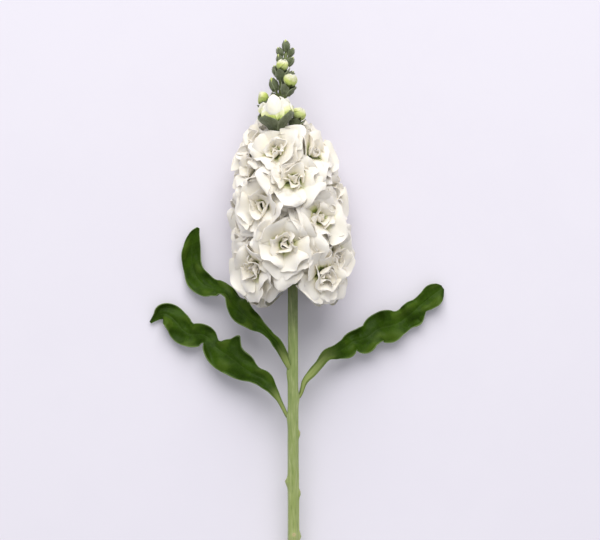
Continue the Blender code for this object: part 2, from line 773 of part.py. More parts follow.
def leaf(name, ribs, phase, finish):
    """A leaf on its ribs: a channelled blade with waved edges."""
    stations = []
    for number, rib in enumerate(ribs):
        stations.append((number, *(value * MM for value in rib[:5]), rib.roll))
    rows = (len(ribs) - 1) * LEAF_ROWS_PER_RIB + 1
    grid = []
    travelled = 0.0
    previous = Vector(stations[0][1:4])
    for row in range(rows):
        place = row / LEAF_ROWS_PER_RIB
        x, y, z, left, right, roll = blend(stations, place)
        middle = Vector((x, y, z))
        ahead, behind = (Vector(blend(stations, place + step)[:3]) for step in (0.05, -0.05))
        along = (ahead - behind).normalized()
        travelled += (middle - previous).length
        previous = middle
        flat = Vector((along.y, -along.x, 0)).normalized()
        up = flat.cross(along).normalized()
        turn = math.radians(roll)
        across = flat * math.cos(turn) + up * math.sin(turn)
        over = up * math.cos(turn) - flat * math.sin(turn)
        line = []
        for column in range(LEAF_COLUMNS):
            t = 2 * column / (LEAF_COLUMNS - 1) - 1
            width = left if t < 0 else right
            swing = 2 * math.pi * travelled / LEAF_WAVE_LENGTH + phase + (LEAF_WAVE_LAG if t > 0 else 0.0)
            wave = LEAF_WAVE * t * t * math.sin(swing)
            channel = LEAF_CHANNEL * (abs(t) - 0.5)
            full = min(width / LEAF_FULL_WIDTH, 1.0)
            point = middle + across * width * t + over * (wave + channel) * full
            point.z = max(point.z, LEAF_THICKNESS / 2)
            line.append(point)
        grid.append(line)
    return new_object(name, blade(grid, LEAF_THICKNESS, False), finish)


def build():
    """Make every piece of the stem."""
    clear_scene()
    draw = random.Random(SEED)
    stalk_green = material("stalk_green", STALK_GREEN)
    leaf_green = material("leaf_green", LEAF_GREEN)
    petal_white = material("petal_white", PETAL_WHITE)
    bud_cream = material("bud_cream", BUD_CREAM)
    sites = floret_sites() + bud_sites()
    stem(sites, stalk_green)
    opened = 0
    for index, site in enumerate(sites):
        if index < FLORETS:
            bloom(f"floret_{index + 1:02d}", index, sites, petal_white, draw)
        elif site.rings:
            opened += 1
            bloom(f"opening_bud_{opened}", index, sites, bud_cream, draw)
    leaf("leaf_left_upper", LEAF_LEFT_UPPER, 0.4, leaf_green)
    leaf("leaf_left_lower", LEAF_LEFT_LOWER, 2.0, leaf_green)
    leaf("leaf_right", LEAF_RIGHT, 1.0, leaf_green)


build()
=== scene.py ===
"""Looks for a cut stem of white double stock that lies on a pale table.

Blooms, buds, stalk and leaves stand on the same seats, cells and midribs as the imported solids, as finer
pieces. Sizes are metres, the table is z = 0, and the tip of the stem points to +Y.
"""
import logging
import math
import random
from dataclasses import dataclass
from enum import Enum
from typing import Any, Iterable, Sequence

import bpy
import numpy as np
from mathutils import Matrix, Vector, noise


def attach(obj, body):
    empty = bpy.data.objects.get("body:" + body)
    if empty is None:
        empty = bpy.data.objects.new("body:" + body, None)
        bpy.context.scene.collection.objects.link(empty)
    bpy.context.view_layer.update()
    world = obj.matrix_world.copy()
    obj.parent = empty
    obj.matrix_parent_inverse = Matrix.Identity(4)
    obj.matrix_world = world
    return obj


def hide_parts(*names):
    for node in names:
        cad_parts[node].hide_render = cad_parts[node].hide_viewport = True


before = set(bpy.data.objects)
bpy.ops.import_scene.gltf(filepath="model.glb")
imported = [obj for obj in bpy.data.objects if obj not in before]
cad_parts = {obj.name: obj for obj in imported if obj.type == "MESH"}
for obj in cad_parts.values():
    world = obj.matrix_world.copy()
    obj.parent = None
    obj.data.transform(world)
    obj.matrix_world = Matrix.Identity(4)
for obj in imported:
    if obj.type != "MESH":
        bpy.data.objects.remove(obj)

LOG = logging.getLogger("stock_stem")
MM = 0.001
GAP = 0.3 * MM
TINY = 1e-9
SEED = 91
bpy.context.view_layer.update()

UP = Vector((0, 0, 1))
TIP = Vector((0, 1, 0))
TURN = 2 * math.pi

Stations = Sequence[tuple[float, ...]]
Array = np.ndarray
Triple = tuple[float, float, float]
Colour = Triple
Span = tuple[float, float]
Change = tuple[float, float, float, float]
Material = bpy.types.Material
Node = bpy.types.Node
Piece = bpy.types.Object
Socket = bpy.types.NodeSocket
Tree = bpy.types.NodeTree


def catmull_rom(a: float, b: float, c: float, d: float, t: float) -> float:
    """Pass smoothly from b to c, with a and d as the neighbours.

    Args:
        a: The value before b.
        b: The value at t = 0.
        c: The value at t = 1.
        d: The value after c.
        t: How far from b to c.

    Returns:
        The value on the curve.
    """
    return 0.5 * (2 * b + (c - a) * t + (2 * a - 5 * b + 4 * c - d) * t**2 + (3 * b - a - 3 * c + d) * t**3)


def blend(stations: Stations, place: float) -> list[float]:
    """Read every value of a list of stations at a place, on a smooth curve through them.

    Args:
        stations: Rows that start with their place.
        place: Where to read.

    Returns:
        The values after the place, in order.
    """
    keys = [station[0] for station in stations]
    last = len(keys) - 1
    place = min(max(place, keys[0]), keys[-1])
    span = max(i for i in range(last) if keys[i] <= place)
    t = (place - keys[span]) / (keys[span + 1] - keys[span])
    values = []
    for column in range(1, len(stations[0])):
        a, b, c, d = (stations[min(max(span + step, 0), last)][column] for step in (-1, 0, 1, 2))
        values.append(catmull_rom(a, b, c, d, t))
    return values


def ease(low: float, high: float, values: Any) -> Any:
    """Rise smoothly from 0 at low to 1 at high.

    Args:
        low: Where the rise starts.
        high: Where it ends.
        values: A number or an array.

    Returns:
        The same shape as values, between 0 and 1.
    """
    part = np.clip((values - low) / (high - low), 0.0, 1.0)
    return part * part * (3 - 2 * part)


def add_object(name: str, data: Any) -> Piece:
    """Put a new object in the scene, with a mesh, light or camera as its data."""
    item = bpy.data.objects.new(name, data)
    bpy.context.scene.collection.objects.link(item)
    return item


class SeatKind(Enum):
    """How far a flower at a seat has opened."""

    OPEN = "open"
    UNDERSIDE = "underside"
    OPENING = "opening"
    HALF_OPEN = "half open"
    CLOSED = "closed"


@dataclass(frozen=True)
class Seat:
    """Where one flower sits on the stem, and the way it faces."""

    place: Vector
    facing: Vector
    size: float
    kind: SeatKind
    foot_y: float
    azimuth: float
    calyx_radius: float
    calyx_length: float
    cell_centre: float = 6.5 * MM

    def centre(self) -> Vector:
        """The middle of the flower's cell."""
        return self.place + self.facing * self.cell_centre * self.size

    def base(self) -> Vector:
        """The foot of the calyx."""
        return self.place - self.facing * (self.calyx_length + GAP)


@dataclass(frozen=True)
class BudPlan:
    """A bud of the tip: height, azimuth, reach, lean, radius, and whether petals show."""

    height: float
    azimuth: float
    reach: float
    lean: float
    radius: float
    opening: bool


BUD_PLANS = (
    BudPlan(138.5 * MM, -14, 11.0 * MM, 80, 5.8 * MM, True),
    BudPlan(139.5 * MM, 68, 9.5 * MM, 60, 3.5 * MM, True),
    BudPlan(150.5 * MM, -80, 8.4 * MM, 54, 3.5 * MM, True),
    BudPlan(160.5 * MM, 30, 8.2 * MM, 64, 3.4 * MM, True),
    BudPlan(169 * MM, -6, 5.4 * MM, 74, 3.2 * MM, True),
    BudPlan(146 * MM, 168, 10 * MM, 48, 2.9 * MM, False),
    BudPlan(149 * MM, 112, 7.5 * MM, 55, 2.4 * MM, False),
    BudPlan(157 * MM, -142, 8 * MM, 55, 2.4 * MM, False),
    BudPlan(165 * MM, -66, 6.8 * MM, 62, 2.4 * MM, False),
    BudPlan(165 * MM, 150, 6.5 * MM, 60, 2.1 * MM, False),
    BudPlan(171 * MM, 108, 6.4 * MM, 60, 1.9 * MM, False),
    BudPlan(172.5 * MM, -100, 5.8 * MM, 60, 1.9 * MM, False),
    BudPlan(179 * MM, -62, 5.0 * MM, 58, 1.8 * MM, False),
    BudPlan(179 * MM, 70, 4.8 * MM, 62, 1.8 * MM, False),
    BudPlan(184 * MM, -84, 5.2 * MM, 62, 1.7 * MM, False),
    BudPlan(184 * MM, 80, 4.2 * MM, 62, 1.6 * MM, False),
    BudPlan(188.6 * MM, -60, 0.6 * MM, 86, 2.0 * MM, False),
)


@dataclass(frozen=True)
class Skeleton:
    """The stalk's middle line, and the seats that the golden angle gives the flowers."""

    cut_end_y: float = -190 * MM
    cut_end_x: float = -1.8 * MM
    cut_radius: float = 3.6 * MM
    flat_sides: int = 12
    shift: float = 0.9 * MM
    taper: float = 0.5 * MM
    head_base_y: float = 50 * MM
    head_base_z: float = 27 * MM
    head_stations: Stations = (
        (50 * MM, -2.6 * MM, 27 * MM, 2.9 * MM),
        (94 * MM, -4.6 * MM, 29.5 * MM, 2.4 * MM),
        (130 * MM, -8.2 * MM, 31 * MM, 1.8 * MM),
        (150 * MM, -9.8 * MM, 31.5 * MM, 1.5 * MM),
        (168 * MM, -8.6 * MM, 31.5 * MM, 1.2 * MM),
        (184 * MM, -6.2 * MM, 31 * MM, 0.9 * MM),
    )
    florets: int = 22
    golden_angle: float = 137.5
    first_azimuth: float = -115
    first_height: float = 42 * MM
    height_step: float = 4.45 * MM
    head_profile: Stations = (
        (40 * MM, 19.5 * MM, -12, 0.96),
        (60 * MM, 21.0 * MM, -4, 1.0),
        (80 * MM, 21.0 * MM, 6, 1.0),
        (100 * MM, 19.0 * MM, 16, 1.0),
        (118 * MM, 15.5 * MM, 30, 0.90),
        (136 * MM, 11.5 * MM, 44, 0.74),
    )
    nudges: tuple[tuple[int, float, float], ...] = (
        (0, -10, 3 * MM),
        (1, 28, 5 * MM),
        (2, -12, -5 * MM),
        (19, 6, -6 * MM),
        (20, -6, -9 * MM),
        (21, 14, -9 * MM),
    )
    lowest_seat: float = 10.5 * MM
    steepest_down: float = -0.8
    turn_aside: float = 0.12
    side_lift: float = 0.6
    calyx_radius: float = 2.9 * MM
    calyx_length: float = 9 * MM
    longest_calyx: float = 1.15
    opening_calyx: float = 0.42
    pedicel_drop: float = 3 * MM
    floret_climb: float = 0.25
    bud_climb: float = 1.0
    core_radius: float = 4.0 * MM
    half_open_radius: float = 5.0 * MM

    def stations(self) -> Stations:
        """All stations of the stalk, from the cut end to the tip."""
        run = self.head_base_y - self.cut_end_y
        slope = math.atan2(self.head_base_z, run)
        end_z = self.cut_radius * math.cos(math.pi / self.flat_sides) * math.cos(slope)
        straight = []
        for part in (0, 1 / 3, 2 / 3):
            z = end_z + (self.head_base_z - end_z) * part
            x = self.cut_end_x - self.shift * part
            straight.append((self.cut_end_y + run * part, x, z, self.cut_radius - self.taper * part))
        return tuple(straight) + self.head_stations

    def at(self, y: float) -> tuple[Vector, float]:
        """The middle of the stalk at a place along Y, and its radius."""
        x, z, radius = blend(self.stations(), y)
        return Vector((x, y, z)), radius

    def direction(self, y: float) -> Vector:
        """The way the stalk runs at a place along Y."""
        return (self.at(y + MM)[0] - self.at(y - MM)[0]).normalized()

    def outward(self, y: float, azimuth: float) -> Vector:
        """The direction away from the stalk.

        Args:
            y: The place along the stalk.
            azimuth: Degrees from straight up, positive toward +X.

        Returns:
            A unit vector across the stalk.
        """
        along = self.direction(y)
        up = (UP - along * along.z).normalized()
        side = along.cross(up)
        turn = math.radians(azimuth)
        return up * math.cos(turn) + side * math.sin(turn)

    def length_of_calyx(self, radius: float) -> float:
        """The length of a calyx of some radius: wide ones stay short."""
        return self.calyx_length * min(radius / self.calyx_radius, self.longest_calyx)

    def pedicel_foot(self, height: float, reach: float, lean: float, length: float, climb: float) -> float:
        """Where along the stalk a pedicel leaves it.

        Args:
            height: The seat's place along the stalk.
            reach: The seat's distance from the stalk.
            lean: The flower's lean toward the tip, in radians.
            length: The calyx's length.
            climb: How far the pedicel climbs for each step outward.

        Returns:
            The place along Y.
        """
        outward = reach - length * math.cos(lean)
        return height - length * math.sin(lean) - outward * climb - self.pedicel_drop

    def floret_seats(self) -> list[Seat]:
        """The seats of the open flowers, from the lowest up."""
        nudges = {index: (turn, shift) for index, turn, shift in self.nudges}
        seats = []
        for index in range(self.florets):
            turn, shift = nudges.get(index, (0.0, 0.0))
            azimuth = self.first_azimuth + self.golden_angle * index + turn
            y = self.first_height + self.height_step * index + shift
            reach, lean, size = blend(self.head_profile, y)
            away, middle, lean = self.outward(y, azimuth), self.at(y)[0], math.radians(lean)
            if away.z < 0:
                reach = min(reach, (middle.z - self.lowest_seat) / -away.z)
            facing = away * math.cos(lean) + self.direction(y) * math.sin(lean)
            kind = SeatKind.OPEN
            if facing.z < self.steepest_down:
                flat = Vector((facing.x + math.copysign(self.turn_aside, facing.x), facing.y, 0)).normalized()
                facing = flat * math.sqrt(1 - self.steepest_down**2) + UP * self.steepest_down
                kind = SeatKind.UNDERSIDE
            else:
                facing = facing + UP * (self.side_lift * (1 - facing.z**2))
            calyx = self.calyx_radius * size
            length = self.length_of_calyx(calyx)
            foot = self.pedicel_foot(y, reach, lean, length, self.floret_climb)
            place = middle + away * reach
            seats.append(Seat(place, facing.normalized(), size, kind, foot, azimuth, calyx, length))
        return seats

    def bud_seats(self) -> list[Seat]:
        """The seats of the buds at the tip."""
        seats = []
        for plan in BUD_PLANS:
            away = self.outward(plan.height, plan.azimuth)
            lean = math.radians(plan.lean)
            facing = away * math.cos(lean) + self.direction(plan.height) * math.sin(lean)
            place = self.at(plan.height)[0] + away * plan.reach
            kind = SeatKind.OPENING if plan.opening else SeatKind.CLOSED
            if plan.radius > self.half_open_radius:
                kind = SeatKind.HALF_OPEN
            length = self.length_of_calyx(plan.radius) * (self.opening_calyx if plan.opening else 1.0)
            foot = self.pedicel_foot(plan.height, plan.reach, lean, length, self.bud_climb)
            size = plan.radius / self.core_radius
            outward = facing.normalized()
            seats.append(Seat(place, outward, size, kind, foot, plan.azimuth, plan.radius, length))
        return seats


class Cell:
    """The space that one flower keeps to: nearer to it than to its neighbours, and above the table."""

    SOFT_START = 0.80
    OPEN_REACH = 100 * MM
    FACING = 1e-6
    FLOOR_ROOM = 0.5 * MM
    LEAF_SIDE = Vector((-0.73, -0.68, 0.0)).normalized()
    LEAF_SIDE_POINT = Vector((-34, 39, 0)) * MM
    LEAF_ROOM = -1.6 * MM
    # place along the stem, and how far the head reaches from the stalk there to the left and to the right
    ENVELOPE = MM * np.array((
        (24, 28, 28),
        (30, 33, 30),
        (41, 38, 36),
        (64, 41, 41),
        (78, 40.5, 39),
        (88, 39.5, 35),
        (106, 35.5, 36),
        (117, 32, 31),
        (124, 31, 28),
        (134, 26, 27.5),
        (142, 19, 19),
        (150, 14, 14),
        (170, 13, 13),
    ))
    ENVELOPE_START = 0.86
    # distance to the side of the stalk, and where the lowest petals end there
    LOW_END = MM * np.array(((0, 42), (6, 38), (14, 29), (26, 28), (34, 31), (44, 42)))
    LOW_SOFTNESS = 6 * MM
    LOW_MIDDLE = -2.4 * MM

    def __init__(self, index: int, seats: Sequence[Seat], stations: Stations) -> None:
        """Find the walls round one flower.

        Args:
            index: The flower's place in the list.
            seats: Every flower's seat.
            stations: The stalk's middle line.
        """
        own = seats[index]
        middle = own.centre()
        to_leaf = (self.LEAF_SIDE_POINT - middle).dot(self.LEAF_SIDE)
        walls = [-UP, self.LEAF_SIDE]
        reaches = [middle.z - self.FLOOR_ROOM, to_leaf - self.LEAF_ROOM]
        for other_index, other in enumerate(seats):
            if other_index == index:
                continue
            between = other.centre() - middle
            share = own.size / (own.size + other.size)
            walls.append(between.normalized())
            reaches.append(between.length * share)
        self.middle = np.array(middle)
        self.walls = np.array([tuple(wall) for wall in walls])
        self.reaches = np.array(reaches)
        self.neighbours = np.array([0.0, 0.0] + [1.0] * (len(reaches) - 2))
        self.stalk = np.array(stations)

    def limit(self, headings: Array, room: float) -> Array:
        """How far the cell reaches from its middle along some directions.

        Args:
            headings: Unit vectors, in rows.
            room: How far past the walls to its neighbours a petal may go.

        Returns:
            A distance for each row.
        """
        lean = headings @ self.walls.T
        reaches = self.reaches + self.neighbours * room
        reach = np.where(lean > self.FACING, reaches / np.maximum(lean, self.FACING), self.OPEN_REACH)
        return np.minimum(reach.min(axis=1), self.OPEN_REACH)

    def inside_head(self, points: Array, reach: float) -> Array:
        """Draw points back toward the stalk, softly, where they pass the head's envelope.

        Args:
            points: Points in rows.
            reach: How much of the envelope the petal may fill.

        Returns:
            The points, moved.
        """
        low = np.interp(np.abs(points[:, 0] - self.LOW_MIDDLE), *self.LOW_END.T)
        under = np.maximum(low + self.LOW_SOFTNESS - points[:, 1], 0.0) / self.LOW_SOFTNESS
        y = points[:, 1] + self.LOW_SOFTNESS * (under - under / np.hypot(1, under))
        x_line, z_line = (np.interp(y, self.stalk[:, 0], self.stalk[:, column]) for column in (1, 2))
        away = np.stack((points[:, 0] - x_line, points[:, 2] - z_line), 1)
        distance = np.maximum(np.linalg.norm(away, axis=1), TINY)
        left, right = (np.interp(y, self.ENVELOPE[:, 0], self.ENVELOPE[:, column]) for column in (1, 2))
        limit = reach * ((left + right) / 2 + (right - left) / 2 * away[:, 0] / distance)
        part = self.soften(distance / limit, self.ENVELOPE_START)
        away *= (part * limit / distance)[:, None]
        return np.stack((x_line + away[:, 0], y, z_line + away[:, 1]), 1)

    @staticmethod
    def soften(part: Array, start: float) -> Array:
        """Let a share of a distance grow freely to start, and then more and more slowly toward 1."""
        over = np.maximum(part - start, 0.0) / (1 - start)
        return np.where(part > start, start + (1 - start) * over / np.hypot(1, over), part)

    def hold(self, points: Array, room: float, reach: float = 1.0) -> Array:
        """Draw points back toward the middle, softly, so that they stay inside.

        Args:
            points: Points in rows.
            room: How far past the walls to its neighbours a petal may go.
            reach: How much of the head's envelope the petal may fill.

        Returns:
            The points, moved.
        """
        away = points - self.middle
        distance = np.maximum(np.linalg.norm(away, axis=1), TINY)
        headings = away / distance[:, None]
        limit = self.limit(headings, room)
        part = self.soften(distance / limit, self.SOFT_START)
        return self.inside_head(self.middle + headings * (limit * part)[:, None], reach)


class Skin:
    """Collects closed blades and tubes into one mesh, with a place on every point for its finish."""

    PLACE = "place"
    SHARP_EDGE = 55
    HAIR_RADIUS = 0.05 * MM
    HAIR_LENGTH = 0.75 * MM
    ASKEW = (0.31, 0.87, 0.38)
    LEAST_NORMAL = 1e-12

    def __init__(self) -> None:
        """Start empty."""
        self.points: list[Array] = []
        self.places: list[Array] = []
        self.faces: list[tuple[int, ...]] = []
        self.count = 0

    def _take(self, points: Array, places: Array, faces: Iterable[tuple[int, ...]]) -> None:
        """Add points with their places, and faces that count from the first of them."""
        self.points.append(points)
        self.places.append(places)
        start = self.count
        self.faces.extend(tuple(start + corner for corner in face) for face in faces)
        self.count += len(points)

    def blade(self, grid: Array, thickness: Any, places: Array) -> None:
        """Add a closed blade round a grid of points.

        Args:
            grid: The middle surface, as rows, columns and x, y, z.
            thickness: One number, or one for each point of the grid.
            places: What the finish reads at each point, as rows, columns and three numbers.
        """
        rows, columns = grid.shape[:2]
        along = np.gradient(grid, axis=0)
        across = np.gradient(grid, axis=1)
        normal = np.cross(along, across)
        normal /= np.maximum(np.linalg.norm(normal, axis=2, keepdims=True), self.LEAST_NORMAL)
        half = np.broadcast_to(np.asarray(thickness) / 2, (rows, columns))[:, :, None]
        sides = grid + normal * half, grid - normal * half
        points = np.concatenate([side.reshape(-1, 3) for side in sides])
        under = rows * columns
        index = np.arange(under).reshape(rows, columns)
        corners = (index[:-1, :-1], index[1:, :-1], index[1:, 1:], index[:-1, 1:])
        upper = np.stack([corner.ravel() for corner in corners], 1)
        faces = upper.tolist() + (upper[:, ::-1] + under).tolist()
        rim = index[:, 0].tolist() + index[-1, 1:].tolist()
        rim += index[-2::-1, -1].tolist() + index[0, -2:0:-1].tolist()
        for here, there in zip(rim, rim[1:] + rim[:1]):
            faces.append((there, here, here + under, there + under))
        flat = places.reshape(-1, 3)
        self._take(points, np.concatenate((flat, flat)), faces)

    def spike(self, root: Array, way: Array, place: Triple) -> None:
        """Add a thin closed spike with three sides.

        Args:
            root: The middle of its foot.
            way: The unit vector that it points along.
            place: What the finish reads all over it.
        """
        across = np.cross(way, self.ASKEW)
        across /= np.linalg.norm(across)
        other = np.cross(way, across)
        foot = [root + (across * math.cos(turn) + other * math.sin(turn)) * self.HAIR_RADIUS
                for turn in (0.0, TURN / 3, 2 * TURN / 3)]
        points = np.array([*foot, root + way * self.HAIR_LENGTH])
        self._take(points, np.tile(place, (4, 1)), ((2, 1, 0), (0, 1, 3), (1, 2, 3), (2, 0, 3)))

    def tube(self, rings: Array, places: Array) -> None:
        """Add a closed tube through rings of points that turn counterclockwise about its run.

        Args:
            rings: Rings, points round a ring and x, y, z.
            places: What the finish reads at each point, in the same layout.
        """
        count, sides = rings.shape[:2]
        faces = []
        for ring in range(count - 1):
            low, high = ring * sides, (ring + 1) * sides
            for i in range(sides):
                j = (i + 1) % sides
                faces.append((low + i, low + j, high + j, high + i))
        faces.append(tuple(reversed(range(sides))))
        faces.append(tuple(range((count - 1) * sides, count * sides)))
        self._take(rings.reshape(-1, 3), places.reshape(-1, 3), faces)

    def piece(self, name: str, finish: Material, slot: str, *nodes: str) -> Piece:
        """Make the object, and hide the solids that it replaces.

        Args:
            name: The piece's name.
            finish: Its material.
            slot: The record's material slot; not used.
            *nodes: The solids that it replaces.

        Returns:
            The new object.
        """
        data = bpy.data.meshes.new(name)
        data.from_pydata(np.concatenate(self.points).tolist(), [], self.faces)
        places = data.attributes.new(self.PLACE, "FLOAT_VECTOR", "POINT")
        places.data.foreach_set("vector", np.concatenate(self.places).astype(np.float32).ravel())
        data.materials.append(finish)
        data.shade_smooth()
        data.set_sharp_from_angle(angle=math.radians(self.SHARP_EDGE))
        data.validate()
        item = add_object(name, data)
        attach(item, "root")
        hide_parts(*nodes)
        LOG.info("%s: %d faces", name, len(data.polygons))
        return item


def upward(way: Vector, steepest: float) -> Vector:
    """Straight up, or toward the tip for a way that is steeper than the limit."""
    return UP if abs(way.z) < steepest else TIP


def ring_round(middle: Vector, along: Vector, radii: Sequence[float]) -> Array:
    """A ring of points across a direction, counterclockwise about it.

    Args:
        middle: The ring's middle.
        along: The direction of the tube.
        radii: The distance of each point.

    Returns:
        The points in rows.
    """
    up = upward(along, 0.8)
    first = (up - along * up.dot(along)).normalized()
    second = along.cross(first)
    points = []
    for number, radius in enumerate(radii):
        turn = TURN * number / len(radii)
        points.append(tuple(middle + (first * math.cos(turn) + second * math.sin(turn)) * radius))
    return np.array(points)


def flower_axes(seat: Seat, spin: float) -> Array:
    """The matrix from a flower's own frame, whose Z is its axis, to the row frame."""
    side = upward(seat.facing, 0.9).cross(seat.facing).normalized()
    other = seat.facing.cross(side)
    turned = Matrix((side, other, seat.facing)).transposed().to_4x4()
    return np.array(Matrix.Translation(seat.place) @ turned @ Matrix.Rotation(spin, 4, "Z"))


def blade_places(rows: int, columns: int, third: float) -> Array:
    """What a finish reads on a petal or sepal.

    Args:
        rows: Rows of points from the foot to the tip.
        columns: Points across.
        third: A number that is the blade's own.

    Returns:
        Rows, columns and three numbers: across from -1 to 1, along from 0 to 1, and the blade's own.
    """
    s, t = np.meshgrid(np.linspace(0, 1, rows), np.linspace(-1, 1, columns), indexing="ij")
    return np.stack((t, s, np.full_like(s, third)), 2)


@dataclass(frozen=True)
class Whorl:
    """One ring of petals: how many, their size, how they stand, ruffle and curve round the flower's axis.

    A bend over 1 keeps a petal near its first angle for longer, and turns it in toward its tip.
    """

    count: int
    length: float
    half_width: float
    start: float
    end: float
    seat: float
    ruffle: float = 1.0
    rows: int = 14
    columns: int = 11
    room: float = 1.5 * MM
    wrap: float = 0.0
    root: float = 2.4 * MM
    bend: float = 1.0


WHORLS = {
    SeatKind.OPEN: (
        Whorl(5, 21.0 * MM, 11.6 * MM, 62, 112, 0.8 * MM, room=6 * MM),
        Whorl(5, 20.0 * MM, 11.4 * MM, 54, 98, 1.8 * MM, room=4 * MM),
        Whorl(5, 17.0 * MM, 10.6 * MM, 44, 84, 2.8 * MM, room=2.5 * MM),
        Whorl(4, 13.5 * MM, 9.0 * MM, 34, 66, 3.0 * MM, 0.9, root=2.2 * MM),
        Whorl(4, 10.0 * MM, 6.8 * MM, 20, 22, 3.0 * MM, 0.9, 12, 9, wrap=0.5, root=2.0 * MM),
        Whorl(2, 7.6 * MM, 4.4 * MM, 4, -48, 2.6 * MM, 1.3, 12, 9, wrap=0.3, root=1.9 * MM),
    ),
    SeatKind.UNDERSIDE: (
        Whorl(6, 23.0 * MM, 12.0 * MM, 54, 100, 1.6 * MM, room=7 * MM),
        Whorl(5, 18.5 * MM, 10.4 * MM, 44, 78, 2.8 * MM, room=3 * MM),
        Whorl(4, 12.5 * MM, 7.0 * MM, 30, 14, 4.0 * MM, 1.1, 12, 9, root=1.6 * MM),
    ),
    SeatKind.OPENING: (
        Whorl(4, 10.5 * MM, 6.6 * MM, 58, -92, 1.6 * MM, 0.25, wrap=1.0),
        Whorl(3, 9.5 * MM, 6.0 * MM, 46, -84, 2.2 * MM, 0.3, 12, 9, wrap=1.0),
    ),
    SeatKind.HALF_OPEN: (
        Whorl(5, 14.0 * MM, 7.4 * MM, 56, -140, 0.4 * MM, 0.7, wrap=1.0, root=2.0 * MM, bend=1.9),
        Whorl(4, 12.0 * MM, 6.4 * MM, 50, -130, 1.0 * MM, 0.8, 12, 9, wrap=1.0, root=1.4 * MM, bend=1.9),
    ),
}


